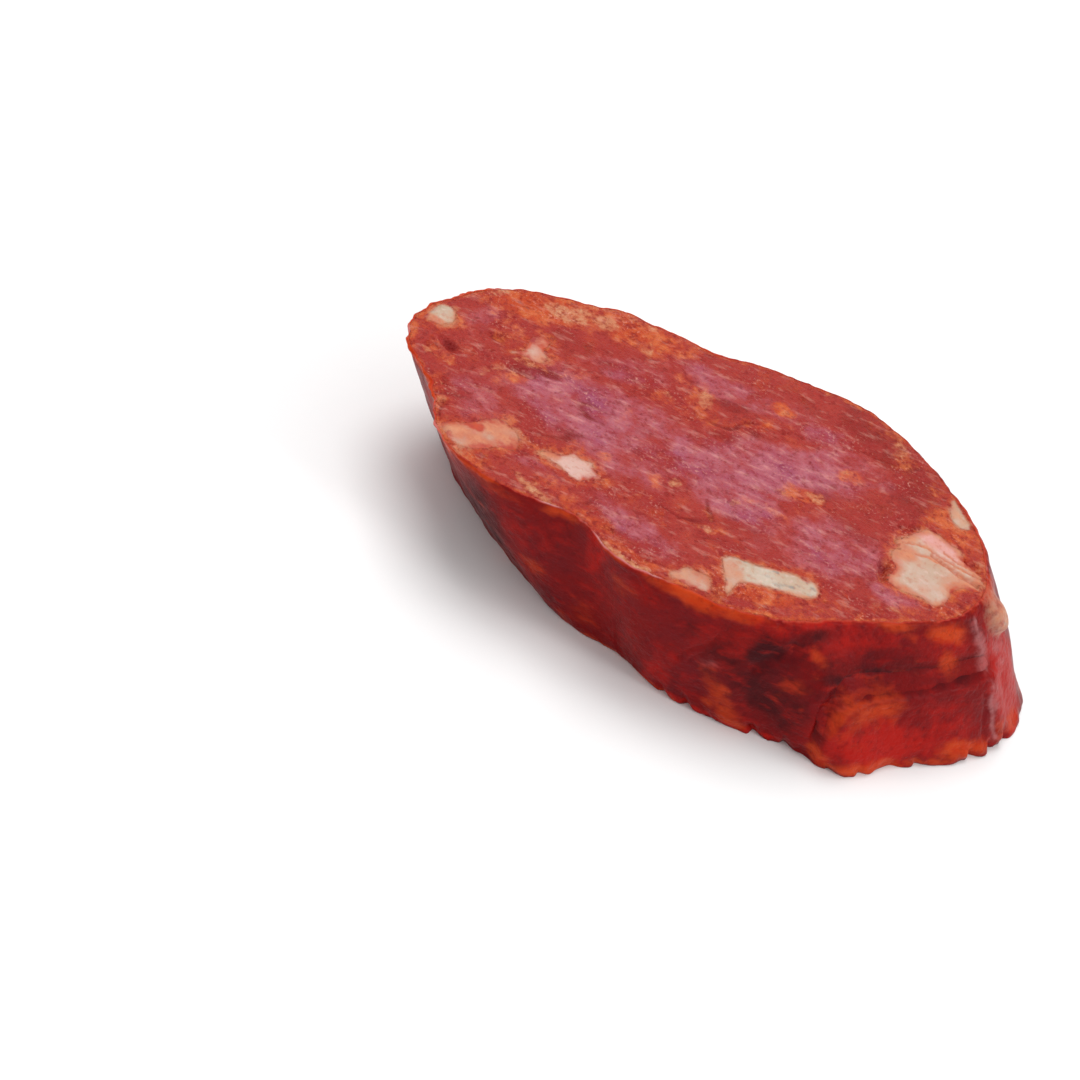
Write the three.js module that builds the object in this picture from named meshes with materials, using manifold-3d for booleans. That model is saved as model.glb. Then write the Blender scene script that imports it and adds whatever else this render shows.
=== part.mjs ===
// A thick slice of dry-cured sausage, cut on the bias and lying on its lower cut face.
// The casing is a sleeve round the cured meat. Lumps of fat sit in pockets in the meat, and the two
// cuts go through meat and fat alike. +X runs along the slice, +Y across it and +Z up, and the
// lower cut face lies on Z = 0.
import * as THREE from 'three';
import { mergeVertices } from 'three/addons/utils/BufferGeometryUtils.js';
import Module from 'manifold-3d';

// Driving dimensions, in millimetres.
const FACE_LENGTH = 61;
const FACE_WIDTH = 36.4;
const THICKNESS = 13.6;
const LOWER_LENGTH = 64.6;
const LOWER_WIDTH = 37;
const LEAN = { x: 7.4, y: 0.3 }; // from the middle of the upper cut to the middle of the lower one
const WALL_BULGE = 0.5; // how far the wall stands out halfway up
const CASING = 0.5;
const CASING_SET_BACK = 0.2; // the dried skin draws back this far from both cuts
const GAP = 0.3; // left between neighbours that touch

const SIDES = 72;
const LAYERS = 5;
const LUMP_SIDES = 14;
const LUMP_LAYERS = 8;

// Each cut is an oval with swells: at an angle in degrees the radius grows by a share, and the
// swell fades over its width in degrees. Angles are counted from +X towards +Y.
const UPPER_CUT = {
  length: FACE_LENGTH,
  width: FACE_WIDTH,
  middle: new THREE.Vector2(0, 0),
  swells: [
    { at: 10, by: -0.02, width: 12 },
    { at: 48, by: 0.07, width: 17 },
    { at: 100, by: -0.115, width: 20 },
    { at: 139, by: -0.018, width: 7 },
    { at: 164, by: 0.012, width: 9 },
    { at: 193, by: -0.075, width: 8 },
    { at: 215, by: 0.03, width: 8 },
    { at: 240, by: -0.13, width: 11 },
    { at: 292, by: 0.02, width: 12 },
    { at: 330, by: -0.075, width: 17 },
  ],
};
const LOWER_CUT = {
  length: LOWER_LENGTH,
  width: LOWER_WIDTH,
  middle: new THREE.Vector2(LEAN.x, LEAN.y),
  swells: [
    { at: 24, by: -0.07, width: 14 },
    { at: 60, by: 0.03, width: 16 },
    { at: 105, by: -0.09, width: 20 },
    { at: 186, by: -0.06, width: 12 },
    { at: 207, by: -0.2, width: 24 },
    { at: 246, by: -0.13, width: 17 },
    { at: 288, by: 0.04, width: 6 },
    { at: 313, by: 0.13, width: 9 },
  ],
};

// Lumps of fat: middle and half sizes before the cuts trim them, and the turn about Z in degrees.
// Heights are counted from the lower cut face.
const FAT_LUMPS = [
  { name: 'fat_end_block', at: [24.6, -1.4, 11.2], half: [5.6, 5, 6.4], turn: -12 },
  { name: 'fat_front_strip', at: [10.4, -12.0, 12.4], half: [5.4, 1.8, 3.6], turn: 17 },
  { name: 'fat_front_wedge', at: [3.3, -15.6, 12.6], half: [2.8, 1.2, 2.4], turn: 4 },
  { name: 'fat_left_lump', at: [-19.5, -9.8, 12.2], half: [3.9, 2.1, 3.4], turn: 27 },
  { name: 'fat_inner_star', at: [-10.4, -8.9, 12.6], half: [3.5, 1.9, 2.6], turn: -4 },
  { name: 'fat_upper_left', at: [-18.9, 4.4, 12.4], half: [2.4, 2.7, 2.8], turn: 20 },
  { name: 'fat_left_tip', at: [-27.3, 3.7, 12.3], half: [2.1, 1.9, 2.6], turn: 30 },
  { name: 'fat_right_rim', at: [24.9, 9.0, 12.2], half: [1.7, 2.4, 3], turn: 20 },
  { name: 'fat_under_left', at: [-13.5, 3.5, 1.4], half: [4.2, 2.4, 3.2], turn: -24 },
  { name: 'fat_under_middle', at: [5.5, -6, 1.2], half: [3.2, 2.2, 2.8], turn: 38 },
  { name: 'fat_under_back', at: [12.5, 10.5, 1.3], half: [4.6, 2, 3], turn: 8 },
  { name: 'fat_under_right', at: [33, -1.5, 1.3], half: [2.5, 3.4, 3], turn: -15 },
];

const MEAT_FINISH = { color: 0xa2363a, roughness: 0.55, metalness: 0 };
const CASING_FINISH = { color: 0x8a1a18, roughness: 0.35, metalness: 0 };
const FAT_FINISH = { color: 0xd9b795, roughness: 0.4, metalness: 0 };

const wasm = await Module();
wasm.setup();

// A cut's radius at an angle in degrees.
function cutRadius(cut, degrees) {
  const angle = THREE.MathUtils.degToRad(degrees);
  const oval = 1 / Math.hypot(Math.cos(angle) / (cut.length / 2), Math.sin(angle) / (cut.width / 2));
  let share = 1;
  for (const { at, by, width } of cut.swells) {
    const away = THREE.MathUtils.euclideanModulo(degrees - at + 180, 360) - 180;
    share += by * Math.exp(-((away / width) ** 2));
  }
  return oval * share;
}

// A point of the wall, a depth in from its outer surface, at a share of the height from 0 to 1.
function wallPoint(degrees, height, depth) {
  const angle = THREE.MathUtils.degToRad(degrees);
  const middle = LOWER_CUT.middle.clone().lerp(UPPER_CUT.middle, height);
  const radius =
    THREE.MathUtils.lerp(cutRadius(LOWER_CUT, degrees), cutRadius(UPPER_CUT, degrees), height) +
    WALL_BULGE * Math.sin(Math.PI * height) -
    depth;
  return new THREE.Vector3(
    middle.x + radius * Math.cos(angle),
    middle.y + radius * Math.sin(angle),
    THICKNESS * height,
  );
}

// The wall's points, layer by layer from the lower cut to the upper one, or from as far short of
// them as setBack says.
function wallLayers(depth, setBack) {
  const lowest = setBack / THICKNESS;
  const points = [];
  for (let layer = 0; layer <= LAYERS; layer++) {
    const height = THREE.MathUtils.lerp(lowest, 1 - lowest, layer / LAYERS);
    for (let side = 0; side < SIDES; side++) {
      points.push(wallPoint((360 / SIDES) * side, height, depth));
    }
  }
  return points;
}

function geometryOf(points, faces) {
  const geometry = new THREE.BufferGeometry().setFromPoints(points);
  geometry.setIndex(faces.flat());
  return geometry;
}

// Two triangles for each side between one ring of points and the next, facing out.
function band(first, second) {
  const faces = [];
  for (let side = 0; side < SIDES; side++) {
    const next = (side + 1) % SIDES;
    faces.push([first + side, first + next, second + next]);
    faces.push([first + side, second + next, second + side]);
  }
  return faces;
}

// The whole slice inside the casing, before the fat takes its pockets.
function filledSlice() {
  const points = wallLayers(CASING + GAP, 0);
  const lowerMiddle = points.length;
  points.push(new THREE.Vector3(LEAN.x, LEAN.y, 0));
  points.push(new THREE.Vector3(0, 0, THICKNESS));
  const faces = [];
  for (let layer = 0; layer < LAYERS; layer++) {
    faces.push(...band(layer * SIDES, (layer + 1) * SIDES));
  }
  for (let side = 0; side < SIDES; side++) {
    const next = (side + 1) % SIDES;
    faces.push([lowerMiddle, next, side]);
    faces.push([lowerMiddle + 1, LAYERS * SIDES + side, LAYERS * SIDES + next]);
  }
  return geometryOf(points, faces);
}

// The sleeve round it, open at both cuts.
function casingGeometry() {
  const outer = wallLayers(0, CASING_SET_BACK);
  const inner = wallLayers(CASING, CASING_SET_BACK);
  const faces = [];
  for (let layer = 0; layer < LAYERS; layer++) {
    const low = layer * SIDES;
    faces.push(...band(low, low + SIDES));
    faces.push(...band(outer.length + low + SIDES, outer.length + low));
  }
  faces.push(...band(outer.length, 0));
  faces.push(...band(LAYERS * SIDES, outer.length + LAYERS * SIDES));
  return geometryOf([...outer, ...inner], faces);
}

// A lump of fat is a sphere, stretched and turned; extra makes it into its pocket.
function lumpGeometry({ at, half, turn }, extra) {
  const lump = new THREE.SphereGeometry(1, LUMP_SIDES, LUMP_LAYERS);
  lump.rotateX(Math.PI / 2);
  lump.scale(half[0] + extra, half[1] + extra, half[2] + extra);
  lump.rotateZ(THREE.MathUtils.degToRad(turn));
  lump.translate(...at);
  return lump;
}

function solidOf(geometry) {
  const bare = geometry.clone();
  bare.deleteAttribute('normal');
  bare.deleteAttribute('uv');
  const merged = mergeVertices(bare);
  return new wasm.Manifold(
    new wasm.Mesh({
      numProp: 3,
      vertProperties: merged.attributes.position.array,
      triVerts: new Uint32Array(merged.index.array),
    }),
  );
}

function geometryOfSolid(solid) {
  const { vertProperties, triVerts } = solid.getMesh();
  const geometry = new THREE.BufferGeometry();
  geometry.setAttribute('position', new THREE.BufferAttribute(vertProperties, 3));
  geometry.setIndex(new THREE.BufferAttribute(triVerts, 1));
  geometry.computeVertexNormals();
  return geometry;
}

function namedMesh(name, geometry, finish) {
  const mesh = new THREE.Mesh(geometry, new THREE.MeshStandardMaterial(finish));
  mesh.name = name;
  return mesh;
}

// The casing, the meat with its pockets and the fat that fills them.
function makeSlice() {
  const slice = new THREE.Group();
  slice.add(namedMesh('casing', casingGeometry(), CASING_FINISH));
  const filled = solidOf(filledSlice());
  let meat = filled;
  for (const lump of FAT_LUMPS) {
    meat = meat.subtract(solidOf(lumpGeometry(lump, GAP)));
    const fat = filled.intersect(solidOf(lumpGeometry(lump, 0)));
    slice.add(namedMesh(lump.name, geometryOfSolid(fat), FAT_FINISH));
  }
  slice.add(namedMesh('cured_meat', geometryOfSolid(meat), MEAT_FINISH));
  return slice;
}

const slice = makeSlice();
const middle = new THREE.Box3().setFromObject(slice).getCenter(new THREE.Vector3());
slice.position.set(-middle.x, -middle.y, 0);

const part = new THREE.Group();
part.add(slice);

export default part;
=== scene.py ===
import math

import bpy
import numpy as np
from bpy.props import FloatProperty, FloatVectorProperty, PointerProperty
from mathutils import Matrix, Vector
from mathutils.geometry import delaunay_2d_cdt


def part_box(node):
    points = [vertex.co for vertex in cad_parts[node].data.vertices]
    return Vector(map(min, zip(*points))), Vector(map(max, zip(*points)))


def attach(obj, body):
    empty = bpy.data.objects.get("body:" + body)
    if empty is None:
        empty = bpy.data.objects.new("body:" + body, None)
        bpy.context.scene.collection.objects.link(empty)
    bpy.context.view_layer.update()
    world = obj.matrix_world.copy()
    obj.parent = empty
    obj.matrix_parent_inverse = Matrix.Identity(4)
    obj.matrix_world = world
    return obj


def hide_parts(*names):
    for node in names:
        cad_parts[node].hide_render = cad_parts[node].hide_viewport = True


bl_info = {
    "name": "Cured Sausage Slice",
    "version": (1, 0, 0),
    "blender": (4, 5, 0),
    "location": "View3D > Sidebar > Sausage",
    "description": "A thick bias-cut slice of dry-cured sausage: meat, casing, fat and its stage",
    "category": "Add Mesh",
}

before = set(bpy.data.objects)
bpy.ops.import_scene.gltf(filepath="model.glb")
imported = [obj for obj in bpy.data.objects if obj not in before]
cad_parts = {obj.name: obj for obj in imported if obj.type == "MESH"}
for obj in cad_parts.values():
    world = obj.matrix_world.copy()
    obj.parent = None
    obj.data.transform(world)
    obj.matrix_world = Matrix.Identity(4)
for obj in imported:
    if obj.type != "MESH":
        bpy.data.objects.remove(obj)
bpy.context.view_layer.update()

# Points and sizes are in millimetres until a piece's mesh is made, in metres, from them.
MM = 0.001


# ---------------------------------------------------------------------------------------------
# Small tools: colours, seeded noise, soft patches and strokes
# ---------------------------------------------------------------------------------------------

def linear(hex_colour):
    """An sRGB colour such as "#A8403C" as linear red, green, blue and alpha."""
    channels = [int(hex_colour[i:i + 2], 16) / 255 for i in (1, 3, 5)]
    return [c / 12.92 if c <= 0.04045 else ((c + 0.055) / 1.055) ** 2.4 for c in channels] + [1.0]


def ramp(values, low, high):
    """0 at low, 1 at high and smooth between. low may be the larger one."""
    share = np.clip((values - low) / (high - low), 0, 1)
    return share * share * (3 - 2 * share)


def bell(distance, reach):
    """1 at no distance and about a third at the reach."""
    return np.exp(-((distance / reach) ** 2))


def strongest(*masks):
    """The highest of several masks at each point."""
    return np.max(masks, axis=0)


def turn_from(degrees, at):
    """How far each angle lies from another, from -180 to 180."""
    return (degrees - at + 180) % 360 - 180


def corner_value(corner, seed):
    """A fixed number from -1 to 1 for each corner of a lattice."""
    x, y, z = (corner[:, i].astype(np.uint64) for i in range(3))
    mixed = (x * np.uint64(73856093)) ^ (y * np.uint64(19349663)) ^ (z * np.uint64(83492791))
    mixed = (mixed + np.uint64(seed * 40503 + 977)) & np.uint64(0xFFFFFFFF)
    for shift, factor in ((15, 2246822519), (13, 3266489917), (16, 668265263)):
        mixed = ((mixed ^ (mixed >> np.uint64(shift))) * np.uint64(factor)) & np.uint64(0xFFFFFFFF)
    return mixed.astype(float) / 0x7FFFFFFF - 1


def noise(points, size, seed):
    """Smooth noise from -1 to 1 at points, with bumps about size across."""
    cell = points / size
    if cell.shape[1] == 2:
        cell = np.c_[cell, np.full(len(cell), 0.5)]
    corner = np.floor(cell)
    share = cell - corner
    share = share * share * (3 - 2 * share)
    corner = corner.astype(np.int64)
    total = np.zeros(len(points))
    for step in np.ndindex(2, 2, 2):
        weight = np.prod(np.where(step, share, 1 - share), axis=1)
        total += weight * corner_value(corner + np.array(step), seed)
    return total


def layered_noise(points, sizes, seed):
    """Noise of several sizes added up, each as high as its share of the widest, from about -1 to 1."""
    total = sum(size * noise(points, size, seed + i) for i, size in enumerate(sizes))
    return total / sum(sizes)


def warped(points, reach, seed):
    """The points moved about by noise, which makes patches drawn at them ragged."""
    moved = points.copy()
    for axis in range(points.shape[1]):
        moved[:, axis] += reach * noise(points, 3.2 * reach + 0.6, seed + axis)
        moved[:, axis] += 0.45 * reach * noise(points, 1.1 * reach + 0.2, seed + axis + 7)
    return moved


def patch(points, at, half, turn=0.0, soft=0.5):
    """1 inside an oval patch and 0 outside it, fading over a share of its half sizes."""
    angle = math.radians(turn)
    x, y = points[:, 0] - at[0], points[:, 1] - at[1]
    along = (x * math.cos(angle) + y * math.sin(angle)) / half[0]
    across = (y * math.cos(angle) - x * math.sin(angle)) / half[1]
    return ramp(np.hypot(along, across), 1 + soft, 1 - soft)


def patches(points, rows):
    """The strongest of several patches, each given as (at, half sizes, turn, strength)."""
    masks = [strength * patch(points, at, half, turn) for at, half, turn, strength in rows]
    return strongest(np.zeros(len(points)), *masks)


def path_distance(points, path):
    """How far each point is from a path of straight stretches."""
    nearest = np.full(len(points), np.inf)
    for start, end in zip(path[:-1], path[1:]):
        way = np.subtract(end, start)
        share = np.clip((points - start) @ way / (way @ way), 0, 1)
        nearest = np.minimum(nearest, np.linalg.norm(points - start - share[:, None] * way, axis=1))
    return nearest


def stroke(points, path, width):
    """1 along a path and 0 from half its width on."""
    return ramp(path_distance(points, path), width / 2, 0)


def strokes(points, rows):
    """The strongest of several strokes, each given as (path, width, strength)."""
    masks = [strength * stroke(points, path, width) for path, width, strength in rows]
    return strongest(np.zeros(len(points)), *masks)


def depth_inside(points, loop):
    """The distance of each point to a closed loop, positive inside it."""
    inside = np.zeros(len(points), bool)
    x, y = points[:, 0], points[:, 1]
    for (x0, y0), (x1, y1) in zip(loop, np.roll(loop, -1, axis=0)):
        level = (y0 > y) != (y1 > y)
        inside ^= level & (x < x0 + (x1 - x0) * (y - y0) / ((y1 - y0) or 1e-9))
    distance = path_distance(points, np.vstack([loop, loop[:1]]))
    return np.where(inside, distance, -distance)


# ---------------------------------------------------------------------------------------------
# The slice's outline, from the frame
# ---------------------------------------------------------------------------------------------

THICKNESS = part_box("cured_meat")[1].z / MM
WALL_BULGE = 0.5  # how far the wall stands out halfway up
OUTLINE_STEPS = 720  # how many angles an outline is read at
SMOOTHED = 8  # over how many of these steps on each side an outline is smoothed
CUTS = {"upper": (1.0, 1), "lower": (0.0, -1)}  # each cut's share of the height, and which way it faces


def read_rim(level):
    """The middle and the radius by angle of the CAD casing's outer rim at its top or bottom."""
    points = np.array([v.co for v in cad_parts["casing"].data.vertices]) / MM
    height = points[:, 2].max() if level == "upper" else points[:, 2].min()
    ring = np.unique(np.round(points[np.abs(points[:, 2] - height) < 0.01], 3), axis=0)[:, :2]
    apart = np.linalg.norm(ring[:, None] - ring[None], axis=2) + 1e9 * np.eye(len(ring))
    partner = ring[apart.argmin(axis=1)]
    rough_middle = ring.mean(axis=0)
    away, partner_away = (np.linalg.norm(p - rough_middle, axis=1) for p in (ring, partner))
    outer = ring[away > partner_away]
    middle = (outer.min(axis=0) + outer.max(axis=0)) / 2
    angles = np.degrees(np.arctan2(*(outer - middle).T[::-1])) % 360
    order = np.argsort(angles)
    radii = np.linalg.norm(outer - middle, axis=1)
    steps = np.arange(OUTLINE_STEPS) * 360 / OUTLINE_STEPS
    by_step = np.interp(steps, angles[order], radii[order], period=360)
    spread = bell(np.arange(-SMOOTHED, SMOOTHED + 1), SMOOTHED / 2)
    wrapped = np.r_[by_step[-SMOOTHED:], by_step, by_step[:SMOOTHED]]
    return middle, np.convolve(wrapped, spread / spread.sum(), "valid")


RIMS = {level: read_rim(level) for level in ("upper", "lower")}


def rim_radius(level, degrees):
    """The radius of a cut's rim at an angle."""
    steps = np.arange(OUTLINE_STEPS) * 360 / OUTLINE_STEPS
    return np.interp(degrees, steps, RIMS[level][1], period=360)


def wall_middle(height):
    """The middle of the slice at a share of its height, one row for each height."""
    height = np.asarray(height, float)[:, None]
    return RIMS["lower"][0] * (1 - height) + RIMS["upper"][0] * height


def straight_radius(degrees, height):
    """The radius of a wall that runs straight from rim to rim."""
    return rim_radius("lower", degrees) * (1 - height) + rim_radius("upper", degrees) * height


def plain_wall(degrees, height, depth):
    """Points of the smooth wall, depth in from its outer surface, in the row frame."""
    radius = straight_radius(degrees, height) + WALL_BULGE * np.sin(np.pi * height) - depth
    angle = np.radians(degrees)
    flat = wall_middle(height) + radius[:, None] * np.c_[np.cos(angle), np.sin(angle)]
    return np.c_[flat, THICKNESS * height]


def arc_place(degrees, height):
    """A place on the unrolled wall: along it from its front at 270 degrees, and up."""
    ends = np.arange(0, 360.5, 0.5)
    halfway = plain_wall(ends, np.full(len(ends), 0.5), 0)[:, :2]
    run = np.r_[0, np.cumsum(np.linalg.norm(np.diff(halfway, axis=0), axis=1))]
    along = np.interp(np.asarray(degrees, float), ends, run) - np.interp(270, ends, run)
    return np.c_[along, THICKNESS * np.asarray(height, float)]


def on_wall(path):
    """A path given as (degrees, share of the height) on the unrolled wall."""
    return arc_place(*zip(*path))


WALL_RUN = np.ptp(on_wall([(0, 0), (360, 0)])[:, 0])
SEAM_FADE = 8  # degrees on each side of 0 over which what doesn't run on from 360 to 0 fades out


def off_seam(degrees):
    """0 where the two ends of the unrolled wall meet and 1 away from there."""
    return ramp(np.minimum(degrees, 360 - degrees), 0, SEAM_FADE)


def warped_wall(degrees, unrolled, reach, seed):
    """Places on the unrolled wall moved about by noise, except where its two ends meet."""
    return unrolled + off_seam(degrees)[:, None] * (warped(unrolled, reach, seed) - unrolled)


def wall_patch(places, at, half, turn=0.0, soft=0.5):
    """A patch round a place on the unrolled wall, which runs on where its two ends meet."""
    away = places - on_wall([at])[0]
    away[:, 0] = (away[:, 0] + WALL_RUN / 2) % WALL_RUN - WALL_RUN / 2
    return patch(away, (0, 0), half, turn, soft)


# ---------------------------------------------------------------------------------------------
# Fat: the ragged outline of each lump, from the middle of its CAD box
# ---------------------------------------------------------------------------------------------

FAT_OUTLINES = {
    "fat_end_block": [
        (-3.4, 3.0), (-1.8, 5.3), (-0.6, 5.6), (0.9, 5.0), (2.4, 4.5), (2.8, 3.9), (3.9, 3.0), (5.4, 2.4),
        (6.6, 1.4), (6.7, 0.2), (5.2, -0.3), (3.9, -0.5), (3.2, -0.9), (2.6, -1.8), (2.3, -3.1), (1.7, -4.4),
        (0.6, -4.9), (-0.6, -4.4), (-2.1, -4.5), (-3.6, -4.2), (-4.0, -3.4), (-3.7, -2.1), (-4.2, -0.6),
        (-4.2, 0.6), (-3.7, 1.4), (-4.3, 2.2),
    ],
    "fat_front_strip": [
        (-5.1, 0.2), (-4.1, 0.8), (-2.4, 1.0), (-1.1, 1.2), (-0.4, 1.6), (1.6, 2.1), (3.1, 2.3), (4.2, 2.1),
        (4.8, 1.3), (4.8, 0.4), (4.0, -0.5), (2.6, -1.0), (1.1, -1.1), (-0.4, -1.4), (-1.0, -1.8),
        (-2.0, -2.1), (-2.6, -2.5), (-2.8, -3.3), (-3.4, -4.3), (-4.0, -4.0), (-4.3, -3.0), (-4.6, -2.0),
        (-5.0, -1.0),
    ],
    "fat_front_wedge": [
        (-2.1, -1.3), (-1.6, -0.4), (-1.0, 0.4), (0.2, 0.6), (1.5, 0.5), (2.0, 0.0), (2.3, -1.0),
        (2.5, -1.7), (1.5, -1.8), (-0.3, -1.7), (-1.5, -1.7),
    ],
    "fat_left_lump": [
        (-5.4, -1.4), (-3.9, -0.6), (-1.9, 0.8), (-0.6, 2.1), (0.9, 3.1), (2.3, 2.5), (3.3, 1.5), (3.5, 0.3),
        (2.7, -0.6), (1.5, -1.1), (0.5, -2.1), (-1.1, -2.8), (-3.1, -2.7), (-4.9, -2.2),
    ],
    "fat_inner_star": [
        (-3.8, -0.1), (-2.8, 0.9), (-1.8, 1.0), (-0.9, 2.0), (-0.6, 3.0), (-0.1, 1.9), (0.8, 1.7),
        (1.6, 2.0), (1.8, 1.0), (2.5, 0.6), (2.9, 0.0), (1.9, -0.9), (0.8, -1.6), (-0.2, -1.3),
        (-1.2, -0.7), (-2.4, -0.5),
    ],
    "fat_upper_left": [
        (-0.6, 2.2), (0.5, 2.8), (1.5, 2.3), (1.3, 1.0), (2.0, -0.2), (1.5, -1.3), (0.3, -1.3), (-0.9, -1.5),
        (-1.9, -1.9), (-1.5, -0.8), (-0.7, -0.2), (-0.7, 0.9),
    ],
    "fat_left_tip": [
        (-3.2, -0.9), (-3.1, 1.2), (-2.3, 2.2), (-0.8, 2.2), (0.4, 1.3), (0.6, -0.2), (-0.3, -1.2),
        (-1.9, -1.4),
    ],
    "fat_right_rim": [
        (0.4, 2.4), (1.6, 1.0), (2.4, -0.9), (2.3, -2.4), (1.0, -2.7), (0.1, -1.6), (-0.5, -0.2),
        (-0.4, 1.4),
    ],
    "fat_under_left": [
        (-4.0, 0.9), (-2.2, 2.2), (0.4, 1.2), (2.5, 0.4), (3.9, -1.4), (2.6, -2.6), (0.3, -1.9),
        (-1.8, -0.6),
    ],
    "fat_under_middle": [
        (-2.5, -2.3), (-1.4, -0.2), (0.3, 0.7), (1.3, 2.3), (2.7, 2.2), (2.2, 0.5), (0.9, -0.9),
        (-0.6, -2.4),
    ],
    "fat_under_back": [
        (-4.4, -1.1), (-2.6, 0.4), (0.0, 1.3), (2.3, 2.0), (4.4, 1.2), (3.1, -0.4), (0.8, -0.9),
        (-1.9, -1.9),
    ],
    "fat_under_right": [
        (-2.3, 1.7), (-0.4, 3.2), (1.6, 2.1), (2.4, -0.3), (1.2, -2.7), (-0.7, -3.2), (-1.9, -1.2),
    ],
}
# FAT_LOOKS: how stained with paprika oil each lump is and how rosy, from 0 to 1, and over how many
# millimetres its edge blends into the paste
FAT_LOOKS = {
    "fat_end_block": (0.3, 0.2, 0.7),
    "fat_front_strip": (0.1, 0.0, 0.5),
    "fat_front_wedge": (0.8, 0.0, 0.9),
    "fat_left_lump": (1.0, 0.0, 1.3),
    "fat_inner_star": (0.1, 0.6, 0.9),
    "fat_upper_left": (0.75, 0.5, 1.2),
    "fat_left_tip": (0.35, 0.0, 0.8),
    "fat_right_rim": (0.5, 0.0, 0.8),
    "fat_under_left": (0.5, 0.3, 0.7),
    "fat_under_middle": (0.3, 0.7, 0.6),
    "fat_under_back": (0.8, 0.2, 1.0),
    "fat_under_right": (0.4, 0.3, 0.7),
}
FAT_STEP = 0.22
FAT_RAGGED = 0.26  # how far noise moves a lump's edge
FAT_TUCK = 0.34  # how far inside its outline a lump's pocket in the meat begins
FAT_DEEPER = 0.18  # how far under the cut a lump's body begins
FAT_FILL = 0.97  # how much of its pocket's depth a lump fills
RIM_CLEARANCE = 0.3
WALL_ROOM = 1.2  # what is left between a lump's body and the wall


def face_of(lump):
    """Which cut a lump of fat shows on."""
    return "lower" if "under" in lump else "upper"


def box_middle(node):
    """The middle of a CAD node's box, seen from above."""
    low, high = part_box(node)
    return np.array([(low.x + high.x) / 2, (low.y + high.y) / 2]) / MM


def smooth_loop(corners, step):
    """A closed curve through the corners, in even steps."""
    corners = np.asarray(corners, float)
    before, after, beyond = (np.roll(corners, shift, axis=0) for shift in (1, -1, -2))
    share = np.linspace(0, 1, 12, endpoint=False)[:, None, None]
    curve = 0.5 * (
        2 * corners + (after - before) * share
        + (2 * before - 5 * corners + 4 * after - beyond) * share ** 2
        + (3 * corners - before - 3 * after + beyond) * share ** 3
    )
    curve = curve.transpose(1, 0, 2).reshape(-1, 2)
    closed = np.vstack([curve, curve[:1]])
    run = np.r_[0, np.cumsum(np.linalg.norm(np.diff(closed, axis=0), axis=1))]
    places = np.linspace(0, run[-1], int(run[-1] / step), endpoint=False)
    return np.c_[np.interp(places, run, closed[:, 0]), np.interp(places, run, closed[:, 1])]


def crossing(first, first_end, second, second_end):
    """Where two straight stretches cross, or None."""
    way, other = first_end - first, second_end - second
    scale = way[0] * other[1] - way[1] * other[0]
    if abs(scale) < 1e-9:
        return None
    gap = second - first
    share = (gap[0] * other[1] - gap[1] * other[0]) / scale
    other_share = (gap[0] * way[1] - gap[1] * way[0]) / scale
    if 0 <= share <= 1 and 0 <= other_share <= 1:
        return first + share * way
    return None


def without_knots(loop):
    """A closed loop without the small knots where it crosses itself, or points too close together."""
    points = list(np.roll(loop, len(loop) // 2, axis=0))
    start = 0
    while start < len(points) - 3:
        for end in range(min(start + 14, len(points) - 2), start + 1, -1):
            at = crossing(points[start], points[start + 1], points[end], points[end + 1])
            if at is not None:
                points[start + 1:end + 1] = [at]
                break
        start += 1
    kept = [points[0]]
    for point in points[1:]:
        if np.linalg.norm(point - kept[-1]) > 0.25 * FAT_STEP:
            kept.append(point)
    return np.array(kept)


def fat_loop(name):
    """The ragged edge of a lump in its cut face, kept inside the rim."""
    level = face_of(name)
    loop = warped(smooth_loop(FAT_OUTLINES[name], FAT_STEP) + box_middle(name), FAT_RAGGED, 41)
    turning = np.sum(loop[:, 0] * np.roll(loop[:, 1], -1) - np.roll(loop[:, 0], -1) * loop[:, 1])
    if turning < 0:
        loop = loop[::-1]
    middle = RIMS[level][0]
    angle = np.arctan2(*(loop - middle).T[::-1])
    away = np.linalg.norm(loop - middle, axis=1)
    away = np.minimum(away, rim_radius(level, np.degrees(angle)) - RIM_CLEARANCE)
    return without_knots(middle + away[:, None] * np.c_[np.cos(angle), np.sin(angle)])


FAT_LOOPS = {name: fat_loop(name) for name in FAT_OUTLINES}


def wall_room(flat, level):
    """How far one can go straight into the meat from a cut at each point before nearing the wall."""
    room = np.zeros(len(flat))
    clear = np.ones(len(flat), bool)
    for depth in np.arange(0.3, 7, 0.3):
        surface, up = CUTS[level]
        height = surface - up * depth / THICKNESS
        away = flat - wall_middle([height])[0]
        angle = np.degrees(np.arctan2(away[:, 1], away[:, 0]))
        clear &= straight_radius(angle, height) - np.linalg.norm(away, axis=1) > WALL_ROOM
        room[clear] = depth
    return room


def lump_depth(name, inside, flat):
    """How deep a lump of fat reaches into the meat, at points a distance inside its edge."""
    low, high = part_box(name)
    deepest = (high.z - low.z) / MM
    share = np.clip(inside / LUMP_REACH[name], 0, 1)
    return np.minimum(deepest * np.sqrt(1 - (1 - share) ** 2), wall_room(flat, face_of(name)))


def lump_reach(name):
    """The greatest distance inside a lump's edge."""
    loop = FAT_LOOPS[name]
    low, high = loop.min(axis=0), loop.max(axis=0)
    grid = np.stack(np.meshgrid(*(np.linspace(a, b, 40) for a, b in zip(low, high))), -1)
    return depth_inside(grid.reshape(-1, 2), loop).max()


LUMP_REACH = {name: lump_reach(name) for name in FAT_LOOPS}


FAR = 4  # a point this far outside a lump has nothing to do with it
FAR_VALUE = -9.0


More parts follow.
